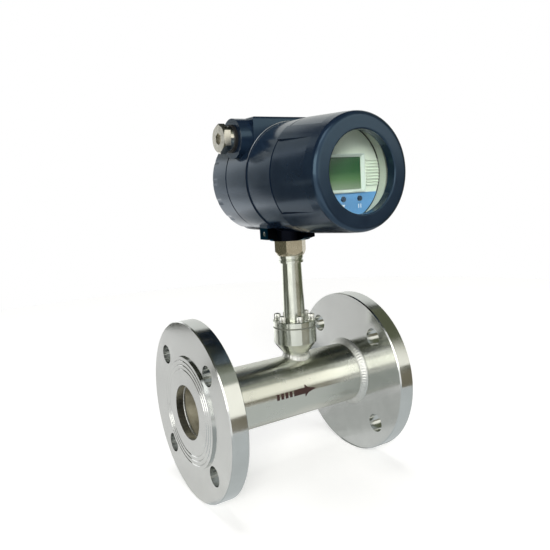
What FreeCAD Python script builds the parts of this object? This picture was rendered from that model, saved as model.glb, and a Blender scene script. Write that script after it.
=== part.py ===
import FreeCAD, Part
import math
import os
import re
import Sketcher

# Driving dimensions: millimetres, degrees and counts
SIZES = {
    # Pipe spool
    "face_to_face": 200,
    "flange_od": 165,
    "flange_thickness": 18,
    "flange_chamfer": 1,
    "raised_face_od": 102,
    "raised_face_height": 2,
    "bolt_circle": 125,
    "bolt_hole": 18,
    "bolt_count": 4,
    "bolt_start": 45,
    "gasket_groove_inset": 3.5,
    "gasket_groove_step": 4,
    "gasket_groove_count": 3,
    "gasket_groove_width": 1.2,
    "gasket_groove_depth": 0.6,
    "tube_od": 60,
    "tube_wall": 5,
    "tube_seat": 8,
    "weld_leg": 5.5,
    "fit_gap": 0.05,
    # Sensor bowl, cap and neck
    "stem_x": 120,
    "bowl_od": 42.5,
    "bowl_height": 29.5,
    "shoulder_height": 14.3,
    "foot_gap": 0.3,
    "bowl_foot_od": 24,
    "bead_width": 2.8,
    "bead_height": 2.2,
    "cap_gasket_thickness": 0.8,
    "cap_gasket_inset": 0.5,
    "cap_thickness": 6,
    "cap_chamfer": 0.6,
    "screw_inset": 3.75,
    "screw_count": 6,
    "screw_start": 45,
    "screw_size": 4,
    "screw_reach": 9,
    "screw_head_od": 6.8,
    "screw_head_height": 5.5,
    "screw_socket": 3,
    "screw_clearance": 0.25,
    "neck_bottom_od": 22,
    "neck_top_od": 19.7,
    "neck_bore": 12,
    "neck_length": 56.5,
    "collar_od": 24,
    "collar_height": 7,
    "collar_groove": 0.8,
    "hex_flats": 27,
    "hex_height": 15,
    "hex_turn": 43,
    "hex_chamfer": 3,
    "hex_shoulder": 1.5,
    "spigot_length": 13,
    "spigot_clearance": 0.06,
    "spigot_groove_depth": 1.5,
    "spigot_groove_width": 6,
    "swivel_gap": 0.15,
    # Probe in the flow
    "holder_od": 16,
    "holder_gap": 0.2,
    "holder_end": 20,
    "guard_wall": 1.2,
    "guard_end": 8,
    "guard_ring": 3,
    "guard_slot": 10,
    "sensor_od": 3.2,
    "sensor_spacing": 6.4,
    "sensor_end": 4,
    "lead_od": 6,
    "lead_rise": 17,
    "lead_seal_height": 10,
    # Housing
    "barrel_od": 103,
    "barrel_step": 0.8,
    "barrel_step_at": 12,
    "barrel_shoulder": 4.5,
    "front_joint": 51,
    "rear_joint": 25.4,
    "front_gap": 2,
    "rear_gap": 2.8,
    "joint_gap": 0.8,
    "thread_gap": 0.3,
    "front_neck": 24,
    "rear_neck": 15.6,
    "neck_wall": 3.5,
    "partition_at": 14,
    "partition_thickness": 4,
    "block_width": 80,
    "block_rise": 4.1,
    "block_front": 11.5,
    "block_setback": 0.4,
    "block_round": 3,
    "boss_od": 36,
    "boss_overhang": 0.5,
    "boss_setback": 17.4,
    "boss_drop": 14,
    "entry_bore": 18.5,
    "entry_depth": 16,
    "cable_bore": 14,
    "base_od": 39,
    "base_height": 7.25,
    "lug_reach": 29,
    "lug_width": 14,
    "lug_rise": 2.2,
    "gusset_reach": 36,
    "gusset_width": 8,
    "gusset_rise": 4,
    "lug_screw_size": 5,
    "lug_screw_rise": 7.5,
    "lug_screw_recess": 0.6,
    # Front cover and window
    "cover_front_od": 96,
    "cover_overhang": 1,
    "cover_wall": 2,
    "cover_round": 5,
    "rib_angle": 17,
    "rib_count": 4,
    "panel_depth": 1.7,
    "panel_setback": 14,
    "window_lip": 14.4,
    "window_depth": 9,
    "window_round": 1.2,
    "glass_seat": 2,
    "glass_thickness": 6,
    "glass_gap": 0.3,
    "window_gasket_thickness": 0.8,
    "window_gasket_inset": 1,
    "retainer_width": 4.5,
    "retainer_thickness": 3.5,
    "seal_section": 2.2,
    "seal_gap": 0.3,
    "seal_offset": 2.8,
    # Rear cover
    "rear_depth": 16.5,
    "rear_cover_inset": 0.5,
    "rear_cover_wall": 5,
    "rear_cover_lip": 3,
    "rear_cover_round": 3,
    "scallop_count": 16,
    "scallop_od": 14,
    "scallop_depth": 1,
    "scallop_length": 12,
    # Display and boards
    "display_gap": 8,
    "plate_gap": 1,
    "plate_thickness": 2,
    "bezel_wall": 4,
    "bezel_depth": 8.7,
    "bezel_gap": 1,
    "lcd_width": 41,
    "lcd_height": 27,
    "lcd_border": 2.6,
    "lcd_frame_rise": 2.2,
    "lcd_frame_foot": 0.3,
    "lcd_glass_thickness": 1.6,
    "lcd_gap": 0.2,
    "module_side": 5,
    "module_margin": 3,
    "module_depth": 7,
    "label_gap": 0.4,
    "label_thickness": 0.4,
    "label_inset": 0.3,
    "key_post_gap": 2.206,
    "key_inset": 4.9,
    "key_od": 4.2,
    "key_gap": 0.3,
    "key_rise": 1.6,
    "key_flange": 1.2,
    "key_flange_height": 1,
    "key_length": 3.4,
    "key_travel": 0.8,
    "key_slack": 0.2,
    "switch_size": 6,
    "board_gap": 1.5,
    "board_thickness": 1.6,
    "main_board_gap": 13,
    "power_board_gap": 28,
    "post_inset": 6,
    "post_od": 5.5,
    "terminal_width": 56,
    "terminal_height": 18,
    "terminal_depth": 17,
    "terminal_count": 6,
    "terminal_screw_od": 5.5,
    "terminal_screw_rise": 1.2,
    # Entry plug
    "plug_flats": 23.5,
    "plug_hex_length": 6.7,
    "plug_chamfer": 1,
    "plug_flange_od": 22.5,
    "plug_flange_thickness": 4.5,
    "plug_washer_od": 25,
    "plug_washer_thickness": 2.6,
    "plug_shank": 12,
    "plug_socket": 9.5,
    "plug_socket_depth": 5,
    # How far a cutting outline reaches past the solid that it cuts
    "cut_over": 1,
}

# Sizes that follow from those above
FOLLOWING = {
    "tube_id": "tube_od - 2 * tube_wall",
    "gasket_groove_od": "raised_face_od - 2 * gasket_groove_inset",
    "bowl_foot": "tube_od / 2 + bead_height + foot_gap",
    "bowl_shoulder": "tube_od / 2 + shoulder_height",
    "bowl_top": "tube_od / 2 + bowl_height",
    "screw_circle": "bowl_od - 2 * screw_inset",
    "spigot_od": "hex_flats - 2 * hex_shoulder",
    "cap_bottom": "bowl_top + cap_gasket_thickness",
    "cap_top": "cap_bottom + cap_thickness",
    "collar_bottom": "cap_top + neck_length",
    "hex_bottom": "collar_bottom + collar_height",
    "hex_top": "hex_bottom + hex_height",
    "head_height": "hex_top + swivel_gap + base_height + barrel_od / 2",
    "base_bottom": "-base_height - barrel_od / 2",
    "thread_od": "barrel_od - 2 * barrel_shoulder",
    "cavity_od": "thread_od - 2 * neck_wall",
    "block_top": "barrel_od / 2 + block_rise",
    "block_back": "rear_joint - block_setback",
    "boss_back": "rear_joint - boss_setback",
    "boss_reach": "barrel_od / 2 + boss_overhang",
    "boss_height": "barrel_od / 2 - boss_drop",
    "partition_back": "partition_thickness - partition_at",
    "neck_end": "-front_joint - front_neck",
    "cover_end": "-front_joint - front_gap",
    "cover_rear_od": "barrel_od + 2 * cover_overhang",
    "cover_bore": "cover_front_od - 2 * cover_wall",
    "window_od": "cover_front_od - 2 * window_lip",
    "glass_od": "cover_bore - 2 * glass_seat",
    "retainer_id": "cover_bore - 2 * retainer_width",
    "display_at": "front_joint + front_neck + display_gap",
    "plate_back": "plate_thickness - display_at",
    "plate_od": "cover_bore - 2 * plate_gap",
    "bezel_id": "plate_od - 2 * bezel_wall",
    "glass_back": "-display_at - bezel_depth - bezel_gap - retainer_thickness",
    "glass_front": "glass_back - glass_thickness",
    "lip_back": "glass_front - window_gasket_thickness",
    "front_reach": "window_depth - lip_back",
    "panel_front": "front_reach - panel_setback",
    "front_seal_at": "cover_end - seal_offset",
    "seal_radius": "thread_od / 2 + seal_gap + seal_section / 2",
    "rear_neck_end": "rear_joint + rear_neck",
    "rear_cover_end": "rear_joint + rear_gap",
    "rear_reach": "rear_neck_end + rear_depth",
    "rear_cover_od": "barrel_od - 2 * rear_cover_inset",
    "rear_cover_bore": "thread_od - 2 * rear_cover_lip",
    "rear_seal_at": "rear_cover_end + seal_offset",
    "lcd_bevel": "lcd_frame_rise - lcd_frame_foot",
    "module_width": "lcd_width + 2 * module_side",
    "module_height": "lcd_height + 2 * module_margin",
    "label_top": "lcd_height / 2 + lcd_border + label_gap",
    "key_drop": "label_top + key_inset",
    "key_tail": "plate_back + key_length",
    "main_board_at": "display_at - main_board_gap",
    "power_board_at": "main_board_at - power_board_gap",
    "main_back": "board_thickness - main_board_at",
    "power_back": "board_thickness - power_board_at",
    "board_od": "cavity_od - 2 * board_gap",
    "post_circle": "board_od - 2 * post_inset",
    "key_spacing": "(post_circle * cos(45) - post_od - switch_size) / 2 - key_post_gap",
    "plug_seat": "-boss_reach - plug_washer_thickness",
    "plug_hex": "plug_seat - plug_flange_thickness",
    "plug_end": "plug_hex - plug_hex_length",
}

# Frames that the pieces are drawn in
SPOOL = ("0", "0", "0")
STEM = ("stem_x", "0", "0")
HEAD = ("stem_x", "0", "head_height")

doc = FreeCAD.newDocument("thermal_flow_meter")
sheet = doc.addObject("Spreadsheet::Sheet", "Sizes")
NAMES = list(SIZES) + list(FOLLOWING)
for row, alias in enumerate(NAMES, 1):
    sheet.set(f"A{row}", alias)
    sheet.set(f"B{row}", str(SIZES[alias]) if alias in SIZES else "=" + FOLLOWING[alias])
    sheet.setAlias(f"B{row}", alias)
doc.recompute()

nodes = []


def cells(text):
    """Write the sheet's name before each size that an expression uses."""
    return re.sub(r"[a-z_]+", lambda word: "Sizes." * (word.group() in NAMES) + word.group(), text)


def size(alias):
    return float(sheet.get(alias))


def origin(body, role):
    return [item for item in body.Origin.OriginFeatures if item.Role == role][0]


def new_body(label, place, turn=0):
    """A sub-part in one of the frames, turned about the vertical."""
    body = doc.addObject("PartDesign::Body", label)
    body.Label = label
    body.Placement = FreeCAD.Placement(FreeCAD.Vector(), FreeCAD.Rotation(FreeCAD.Vector(0, 0, 1), turn))
    for axis, text in zip("xyz", place):
        body.setExpression("Placement.Base." + axis, cells(text))
    nodes.append(body)
    return body


def new_sketch(body, name, plane, lift="0"):
    sketch = body.newObject("Sketcher::SketchObject", f"{body.Label}_{name}_sketch")
    sketch.AttachmentSupport = [(origin(body, plane), "")]
    sketch.MapMode = "FlatFace"
    sketch.setExpression("AttachmentOffset.Base.z", cells(lift))
    return sketch


def tie(sketch, geometry, point, across, up):
    """Hold a point of the sketch at two sizes, measured from the sketch's origin."""
    for kind, axis, text in (("DistanceX", -2, across), ("DistanceY", -1, up)):
        if text == "0":
            sketch.addConstraint(Sketcher.Constraint("PointOnObject", geometry, point, axis))
        else:
            index = sketch.addConstraint(Sketcher.Constraint(kind, -1, 1, geometry, point, 1.0))
            sketch.setExpression(f"Constraints[{index}]", cells(text))


def polygon(sketch, corners):
    """A closed outline through corners that are given as pairs of expressions."""
    count = len(corners)
    first = sketch.GeometryCount
    turns = [2 * math.pi * step / count for step in range(count)]
    start = [FreeCAD.Vector(10 * math.cos(turn), 10 * math.sin(turn), 0) for turn in turns]
    for step in range(count):
        sketch.addGeometry(Part.LineSegment(start[step], start[(step + 1) % count]), False)
    for step in range(count):
        following = first + (step + 1) % count
        sketch.addConstraint(Sketcher.Constraint("Coincident", first + step, 2, following, 1))
    for step, (across, up) in enumerate(corners):
        tie(sketch, first + step, 1, across, up)


def circle(sketch, across, up, diameter):
    start = Part.Circle(FreeCAD.Vector(1, 1, 0), FreeCAD.Vector(0, 0, 1), 1)
    geometry = sketch.addGeometry(start, False)
    index = sketch.addConstraint(Sketcher.Constraint("Radius", geometry, 1.0))
    sketch.setExpression(f"Constraints[{index}]", cells(f"({diameter}) / 2"))
    tie(sketch, geometry, 3, across, up)


def hexagon(sketch, across, up, flats, turn="0"):
    """A regular hexagon, with a corner at the turn angle from the sketch's first axis."""
    radius = f"({flats}) / sqrt(3)"
    angles = [f"({turn} + {60 * step})" for step in range(6)]
    polygon(sketch, [(f"{across} + {radius} * cos{a}", f"{up} + {radius} * sin{a}") for a in angles])


def rectangle(sketch, left, right, low, high):
    polygon(sketch, [(left, low), (right, low), (right, high), (left, high)])


def turned(body, name, axis, *outlines, kind="Revolution", angle="360"):
    """Outlines of (distance along the axis, radius) turned about the body's own X, Y or Z axis."""
    sketch = new_sketch(body, name, "XZ_Plane" if axis == "Z" else "XY_Plane")
    for outline in outlines:
        polygon(sketch, [pair if axis == "X" else pair[::-1] for pair in outline])
    feature = body.newObject("PartDesign::" + kind, f"{body.Label}_{name}")
    feature.Profile = sketch
    feature.ReferenceAxis = (sketch, ["H_Axis" if axis == "X" else "V_Axis"])
    feature.setExpression("Angle", cells(angle))
    feature.Midplane = True
    return feature


def raised(body, name, plane, draw, length, lift="0", kind="Pad", side="One side", reverse=False):
    """A sketch drawn by a function, padded or pocketed by a length, or right through without one."""
    sketch = new_sketch(body, name, plane, lift)
    draw(sketch)
    feature = body.newObject("PartDesign::" + kind, f"{body.Label}_{name}")
    feature.Profile = sketch
    feature.SideType = side
    feature.Reversed = reverse
    if length:
        feature.setExpression("Length", cells(length))
    else:
        feature.Type = "ThroughAll"
    return feature


def repeat(body, name, axis, features, count):
    pattern = body.newObject("PartDesign::PolarPattern", f"{body.Label}_{name}")
    pattern.Originals = features
    pattern.Axis = (origin(body, axis), [""])
    pattern.Angle = 360
    pattern.setExpression("Occurrences", cells(count))
    body.Tip = pattern


def dress(body, name, kind, amount, wanted):
    """A fillet or chamfer on the edges that a test picks."""
    doc.recompute()
    base = body.Tip
    edges = [f"Edge{number}" for number, edge in enumerate(base.Shape.Edges, 1) if wanted(edge)]
    feature = body.newObject("PartDesign::" + kind, f"{body.Label}_{name}")
    feature.Base = (base, edges)
    feature.setExpression("Radius" if kind == "Fillet" else "Size", cells(amount))


def ring_edge(edge, axis, radius, place=None):
    """Whether an edge is a circle of a radius about a body's axis, at a place along it."""
    if not isinstance(edge.Curve, Part.Circle) or abs(edge.Curve.Radius - radius) > 1e-4:
        return False
    along = edge.Curve.Center["XYZ".index(axis)]
    off_axis = math.sqrt(max(edge.Curve.Center.Length ** 2 - along ** 2, 0))
    return off_axis < 1e-4 and (place is None or abs(along - place) < 1e-4)


# Flanges: raised face with gasket grooves, bolt circle and the seat that the tube butts against
def flange(label, place, turn):
    body = new_body(label, place, turn)
    turned(body, "blank", "X", [
        ("0", "tube_id / 2"),
        ("0", "raised_face_od / 2"),
        ("raised_face_height", "raised_face_od / 2"),
        ("raised_face_height", "flange_od / 2"),
        ("flange_thickness", "flange_od / 2"),
        ("flange_thickness", "tube_od / 2 + fit_gap"),
        ("tube_seat", "tube_od / 2 + fit_gap"),
        ("tube_seat", "tube_id / 2"),
    ])
    dress(body, "rim", "Chamfer", "flange_chamfer",
          lambda edge: ring_edge(edge, "X", size("flange_od") / 2))
    rings = [f"(gasket_groove_od / 2 - {step} * gasket_groove_step)"
             for step in range(int(size("gasket_groove_count")))]
    turned(body, "gasket_grooves", "X", *[[
        ("0", f"{ring} - gasket_groove_width / 2"),
        ("gasket_groove_depth", ring),
        ("0", f"{ring} + gasket_groove_width / 2"),
    ] for ring in rings], kind="Groove")
    hole = raised(body, "bolt_hole", "YZ_Plane",
                  lambda sketch: circle(sketch, "bolt_circle / 2 * cos(bolt_start)",
                                        "bolt_circle / 2 * sin(bolt_start)", "bolt_hole"),
                  None, kind="Pocket", side="Symmetric")
    repeat(body, "bolt_holes", "X_Axis", [hole], "bolt_count")


# Fillet weld where the tube enters the inner face of a flange, with a slightly crowned face
def flange_weld(label, place, turn):
    body = new_body(label, place, turn)
    turned(body, "bead", "X", [
        ("flange_thickness", "tube_od / 2 + fit_gap"),
        ("flange_thickness", "tube_od / 2 + weld_leg"),
        ("flange_thickness + weld_leg * 0.6", "tube_od / 2 + weld_leg * 0.6"),
        ("flange_thickness + weld_leg", "tube_od / 2 + fit_gap"),
    ])


OUTLET = ("face_to_face", "0", "0")
flange("inlet_flange", SPOOL, 0)
flange("outlet_flange", OUTLET, 180)
flange_weld("inlet_weld", SPOOL, 0)
flange_weld("outlet_weld", OUTLET, 180)

# Flow tube between the flange seats, with the hole that the probe enters by
tube = new_body("flow_tube", SPOOL)
turned(tube, "wall", "X", [
    ("tube_seat", "tube_id / 2"),
    ("tube_seat", "tube_od / 2"),
    ("face_to_face - tube_seat", "tube_od / 2"),
    ("face_to_face - tube_seat", "tube_id / 2"),
])
raised(tube, "probe_hole", "XY_Plane",
       lambda sketch: circle(sketch, "stem_x", "0", "holder_od + 2 * holder_gap"),
       "tube_od", kind="Pocket", reverse=True)


def at_screw(sketch, diameter):
    """A circle at the first cap screw."""
    circle(sketch, "screw_circle / 2 * cos(screw_start)", "screw_circle / 2 * sin(screw_start)", diameter)


def around_tube(sketch, *diameters):
    """Circles about the tube's axis, for saddle cuts."""
    for diameter in diameters:
        circle(sketch, "0", "0", diameter)


# Sensor bowl: turned socket whose foot is cut to the tube, tapped for the cap screws
bowl = new_body("sensor_bowl", STEM)
turned(bowl, "blank", "Z", [
    ("0", "holder_od / 2 + holder_gap"),
    ("0", "bowl_foot_od / 2"),
    ("bowl_foot", "bowl_foot_od / 2"),
    ("bowl_shoulder", "bowl_od / 2"),
    ("bowl_top", "bowl_od / 2"),
    ("bowl_top", "holder_od / 2 + holder_gap"),
])
raised(bowl, "saddle", "YZ_Plane", lambda sketch: around_tube(sketch, "tube_od + 2 * fit_gap"),
       None, kind="Pocket", side="Symmetric")
tapped = raised(bowl, "tapped_hole", "XY_Plane", lambda sketch: at_screw(sketch, "screw_size + 2 * fit_gap"),
                "screw_reach + screw_clearance", lift="bowl_top", kind="Pocket")
repeat(bowl, "tapped_holes", "Z_Axis", [tapped], "screw_count")

# Weld bead that follows the saddle between bowl and tube
bead = new_body("bowl_weld", STEM)
turned(bead, "ring", "Z", [
    ("0", "bowl_foot_od / 2 + fit_gap"),
    ("0", "bowl_foot_od / 2 + bead_width * 2"),
    ("tube_od / 2 - bead_height", "bowl_foot_od / 2 + bead_width"),
    ("tube_od / 2 + bead_height * 1.5", "bowl_foot_od / 2 + bead_width / 3"),
    ("tube_od / 2 + bead_height * 1.5", "bowl_foot_od / 2 + fit_gap"),
])
raised(bead, "saddle", "YZ_Plane", lambda sketch: around_tube(sketch, "tube_od + 2 * fit_gap"),
       None, kind="Pocket", side="Symmetric")
raised(bead, "crown", "YZ_Plane",
       lambda sketch: around_tube(sketch, "tube_od + 2 * bead_height", "tube_od * 2 + bead_width * 8"),
       None, kind="Pocket", side="Symmetric")

# Cap and its gasket, both drilled for the screws
gasket = new_body("cap_gasket", STEM)
turned(gasket, "ring", "Z", [
    ("bowl_top", "holder_od / 2 + holder_gap"),
    ("bowl_top", "bowl_od / 2 - cap_gasket_inset"),
    ("cap_bottom", "bowl_od / 2 - cap_gasket_inset"),
    ("cap_bottom", "holder_od / 2 + holder_gap"),
])
cap = new_body("probe_cap", STEM)
turned(cap, "disc", "Z", [
    ("cap_bottom", "lead_od / 2 + fit_gap"),
    ("cap_bottom", "bowl_od / 2"),
    ("cap_top", "bowl_od / 2"),
    ("cap_top", "lead_od / 2 + fit_gap"),
])
dress(cap, "rim", "Chamfer", "cap_chamfer", lambda edge: ring_edge(edge, "Z", size("bowl_od") / 2))
for plate in (gasket, cap):
    drilled = raised(plate, "screw_hole", "XY_Plane",
                     lambda sketch: at_screw(sketch, "screw_size + 2 * screw_clearance"),
                     None, kind="Pocket", side="Symmetric")
    repeat(plate, "screw_holes", "Z_Axis", [drilled], "screw_count")

# Socket head screws that hold the cap
screws = new_body("cap_screws", STEM)
head = raised(screws, "head", "XY_Plane", lambda sketch: at_screw(sketch, "screw_head_od"),
              "screw_head_height", lift="cap_top")
shank = raised(screws, "shank", "XY_Plane", lambda sketch: at_screw(sketch, "screw_size"),
               "cap_thickness + cap_gasket_thickness + screw_reach", lift="cap_top", reverse=True)
socket = raised(screws, "socket", "XY_Plane",
                lambda sketch: hexagon(sketch, "screw_circle / 2 * cos(screw_start)",
                                       "screw_circle / 2 * sin(screw_start)", "screw_socket"),
                "screw_head_height / 2", lift="cap_top + screw_head_height", kind="Pocket")
repeat(screws, "ring", "Z_Axis", [head, shank, socket], "screw_count")

# Neck tube, which tapers towards the head
neck = new_body("neck_tube", STEM)
turned(neck, "wall", "Z", [
    ("cap_top", "neck_bore / 2"),
    ("cap_top", "neck_bottom_od / 2"),
    ("collar_bottom", "neck_top_od / 2"),
    ("collar_bottom", "neck_bore / 2"),
])

# Collar under the adapter, with a turned groove round its middle
collar = new_body("neck_collar", STEM)
turned(collar, "ring", "Z", [
    ("collar_bottom", "neck_bore / 2"),
    ("collar_bottom", "collar_od / 2"),
    ("collar_bottom + collar_height * 0.3", "collar_od / 2"),
    ("collar_bottom + collar_height * 0.4", "collar_od / 2 - collar_groove"),
    ("collar_bottom + collar_height * 0.5", "collar_od / 2 - collar_groove"),
    ("collar_bottom + collar_height * 0.6", "collar_od / 2"),
    ("hex_bottom", "collar_od / 2"),
    ("hex_bottom", "neck_bore / 2"),
])

# Hex adapter: hexagon with a coned underside, and the grooved spigot that the head swivels on
adapter = new_body("hex_adapter", STEM)
raised(adapter, "hexagon", "XY_Plane", lambda sketch: hexagon(sketch, "0", "0", "hex_flats", "hex_turn"),
       "hex_height", lift="hex_bottom")
HEX_CORNER = "hex_flats / sqrt(3)"
turned(adapter, "cone", "Z", [
    ("hex_bottom - cut_over", f"{HEX_CORNER} - hex_chamfer - cut_over"),
    ("hex_bottom - cut_over", f"{HEX_CORNER} + cut_over"),
    ("hex_bottom + hex_chamfer * 1.5", f"{HEX_CORNER} + cut_over"),
    ("hex_bottom + hex_chamfer * 1.5", HEX_CORNER),
    ("hex_bottom", f"{HEX_CORNER} - hex_chamfer"),
], kind="Groove")
GROOVE_MIDDLE = "(hex_top + swivel_gap + lug_screw_rise)"
turned(adapter, "spigot", "Z", [
    ("hex_top", "0"),
    ("hex_top", "spigot_od / 2"),
    (f"{GROOVE_MIDDLE} - spigot_groove_width / 2", "spigot_od / 2"),
    (f"{GROOVE_MIDDLE} - spigot_groove_width / 2", "spigot_od / 2 - spigot_groove_depth"),
    (f"{GROOVE_MIDDLE} + spigot_groove_width / 2", "spigot_od / 2 - spigot_groove_depth"),
    (f"{GROOVE_MIDDLE} + spigot_groove_width / 2", "spigot_od / 2"),
    ("hex_top + spigot_length", "spigot_od / 2"),
    ("hex_top + spigot_length", "0"),
])
raised(adapter, "bore", "XY_Plane", lambda sketch: circle(sketch, "0", "0", "neck_bore"),
       None, kind="Pocket", side="Symmetric")

# Probe: holder under the cap, two sensor pins in the flow and the slotted guard around them
holder = new_body("probe_holder", STEM)
turned(holder, "rod", "Z", [
    ("holder_end", "0"),
    ("holder_end", "holder_od / 2"),
    ("cap_bottom", "holder_od / 2"),
    ("cap_bottom", "0"),
])
guard = new_body("sensor_guard", STEM)
turned(guard, "sleeve", "Z", [
    ("-guard_end", "holder_od / 2 - guard_wall"),
    ("-guard_end", "holder_od / 2"),
    ("holder_end", "holder_od / 2"),
    ("holder_end", "holder_od / 2 - guard_wall"),
])
raised(guard, "slot", "YZ_Plane",
       lambda sketch: rectangle(sketch, "-guard_slot / 2", "guard_slot / 2",
                                "-guard_end + guard_ring", "holder_end - guard_ring"),
       None, kind="Pocket", side="Symmetric")
for label, side in (("heated_sensor", "-"), ("reference_sensor", "")):
    pin = new_body(label, (f"stem_x {side or '+'} sensor_spacing / 2", "0", "0"))
    turned(pin, "pin", "Z", [
        ("-sensor_end", "0"),
        ("-sensor_end", "sensor_od / 4"),
        ("-sensor_end + sensor_od / 4", "sensor_od / 2"),
        ("holder_end", "sensor_od / 2"),
        ("holder_end", "0"),
    ])

# Sensor leads up the neck, and the potted seal that holds them in the adapter
leads = new_body("lead_bundle", STEM)
turned(leads, "core", "Z", [
    ("cap_bottom", "0"),
    ("cap_bottom", "lead_od / 2"),
    ("hex_top + lead_rise", "lead_od / 2"),
    ("hex_top + lead_rise", "0"),
])
seal = new_body("lead_seal", STEM)
turned(seal, "ring", "Z", [
    ("hex_top - lead_seal_height", "lead_od / 2 + fit_gap"),
    ("hex_top - lead_seal_height", "neck_bore / 2 - fit_gap"),
    ("hex_top", "neck_bore / 2 - fit_gap"),
    ("hex_top", "lead_od / 2 + fit_gap"),
])

# Housing: turned barrel with threaded necks, conduit block and bosses, base, lug and gusset
housing = new_body("housing_body", HEAD)
turned(housing, "barrel", "Y", [
    ("neck_end", "0"),
    ("neck_end", "thread_od / 2"),
    ("-front_joint", "thread_od / 2"),
    ("-front_joint", "barrel_od / 2 - barrel_step"),
    ("-barrel_step_at", "barrel_od / 2 - barrel_step"),
    ("-barrel_step_at", "barrel_od / 2"),
    ("rear_joint", "barrel_od / 2"),
    ("rear_joint", "thread_od / 2"),
    ("rear_neck_end", "thread_od / 2"),
    ("rear_neck_end", "0"),
])
raised(housing, "block", "XY_Plane",
       lambda sketch: rectangle(sketch, "-block_width / 2", "block_width / 2", "-block_front", "block_back"),
       "block_top")
dress(housing, "block_edges", "Fillet", "block_round",
      lambda edge: all(abs(vertex.Z - size("block_top")) < 1e-4 for vertex in edge.Vertexes))
raised(housing, "bosses", "YZ_Plane", lambda sketch: circle(sketch, "boss_back", "boss_height", "boss_od"),
       "2 * boss_reach", side="Symmetric")
raised(housing, "base", "XY_Plane", lambda sketch: circle(sketch, "0", "0", "base_od"),
       "-base_bottom", lift="base_bottom")
raised(housing, "lug", "XY_Plane",
       lambda sketch: rectangle(sketch, "-lug_reach", "0", "-lug_width / 2", "lug_width / 2"),
       "-base_bottom - lug_rise", lift="base_bottom + lug_rise")
raised(housing, "gusset", "YZ_Plane",
       lambda sketch: polygon(sketch, [("0", "base_bottom"), ("-base_od / 2", "base_bottom"),
                                       ("-gusset_reach", "base_bottom + gusset_rise"),
                                       ("-gusset_reach", "-cavity_od / 4"), ("0", "-cavity_od / 4")]),
       "gusset_width", side="Symmetric")
turned(housing, "compartments", "Y",
       [("neck_end - cut_over", "0"), ("neck_end - cut_over", "cavity_od / 2"),
        ("-partition_at", "cavity_od / 2"), ("-partition_at", "0")],
       [("rear_neck_end + cut_over", "0"), ("rear_neck_end + cut_over", "cavity_od / 2"),
        ("partition_back", "cavity_od / 2"), ("partition_back", "0")],
       kind="Groove")
raised(housing, "swivel_bore", "XY_Plane",
       lambda sketch: circle(sketch, "0", "0", "spigot_od + 2 * spigot_clearance"),
       "-base_bottom - cavity_od / 4", lift="base_bottom", kind="Pocket", reverse=True)
LUG_SCREW_LEVEL = "(base_bottom + lug_screw_rise)"
raised(housing, "lug_screw_hole", "YZ_Plane",
       lambda sketch: circle(sketch, "0", LUG_SCREW_LEVEL, "lug_screw_size + 2 * fit_gap"),
       None, kind="Pocket")
for name, side, reverse in (("left_entry", "-", True), ("right_entry", "", False)):
    raised(housing, name, "YZ_Plane", lambda sketch: circle(sketch, "boss_back", "boss_height", "entry_bore"),
           "entry_depth", lift=f"{side}boss_reach", kind="Pocket", reverse=reverse)
raised(housing, "cable_way", "YZ_Plane",
       lambda sketch: circle(sketch, "boss_back", "boss_height", "cable_bore"),
       "2 * (boss_reach - entry_depth / 2)", kind="Pocket", side="Symmetric")

# Screw in the lug, which runs in the spigot's groove and locks the swivel
lock = new_body("set_screw", HEAD)
raised(lock, "shank", "YZ_Plane", lambda sketch: circle(sketch, "0", LUG_SCREW_LEVEL, "lug_screw_size"),
       "lug_reach - lug_screw_recess - (spigot_od / 2 - spigot_groove_depth + swivel_gap * 2)",
       lift="-lug_reach + lug_screw_recess")
raised(lock, "socket", "YZ_Plane", lambda sketch: hexagon(sketch, "0", LUG_SCREW_LEVEL, "lug_screw_size / 2"),
       "lug_screw_size / 2", lift="-lug_reach + lug_screw_recess", kind="Pocket", reverse=True)

# Front cover: coned shell with a deep window lip, four raised ribs and recessed grip panels between
front = new_body("front_cover", HEAD)
COVER_SLOPE = "((cover_rear_od - cover_front_od) / 2 / (front_reach - front_joint - front_gap))"
turned(front, "shell", "Y", [
    ("-front_reach", "window_od / 2"),
    ("-front_reach", "cover_front_od / 2"),
    ("cover_end", "cover_rear_od / 2"),
    ("cover_end", "thread_od / 2 + thread_gap"),
    ("front_seal_at + seal_section / 2 + seal_gap", "thread_od / 2 + thread_gap"),
    ("front_seal_at + seal_section / 2 + seal_gap", "seal_radius + seal_section / 2 + seal_gap"),
    ("front_seal_at - seal_section / 2 - seal_gap", "seal_radius + seal_section / 2 + seal_gap"),
    ("front_seal_at - seal_section / 2 - seal_gap", "thread_od / 2 + thread_gap"),
    ("neck_end - joint_gap", "thread_od / 2 + thread_gap"),
    ("neck_end - joint_gap", "cover_bore / 2"),
    ("glass_back", "cover_bore / 2"),
    ("glass_back", "glass_od / 2 + glass_gap"),
    ("lip_back", "glass_od / 2 + glass_gap"),
    ("lip_back", "window_od / 2"),
])
dress(front, "rim", "Fillet", "cover_round",
      lambda edge: ring_edge(edge, "Y", size("cover_front_od") / 2, -size("front_reach")))
dress(front, "lip", "Fillet", "window_round",
      lambda edge: ring_edge(edge, "Y", size("window_od") / 2, -size("front_reach")))
panel = turned(front, "grip_panel", "Y", [
    ("-panel_front", f"cover_front_od / 2 + (front_reach - panel_front) * {COVER_SLOPE}"),
    ("cover_end", "cover_rear_od / 2 - panel_depth"),
    ("cover_end + cut_over", "cover_rear_od / 2 - panel_depth"),
    ("cover_end + cut_over", "cover_rear_od / 2 + cut_over"),
    ("-panel_front", "cover_rear_od / 2 + cut_over"),
], kind="Groove", angle="360 / rib_count - rib_angle")
repeat(front, "grip_panels", "Y_Axis", [panel], "rib_count")


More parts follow.
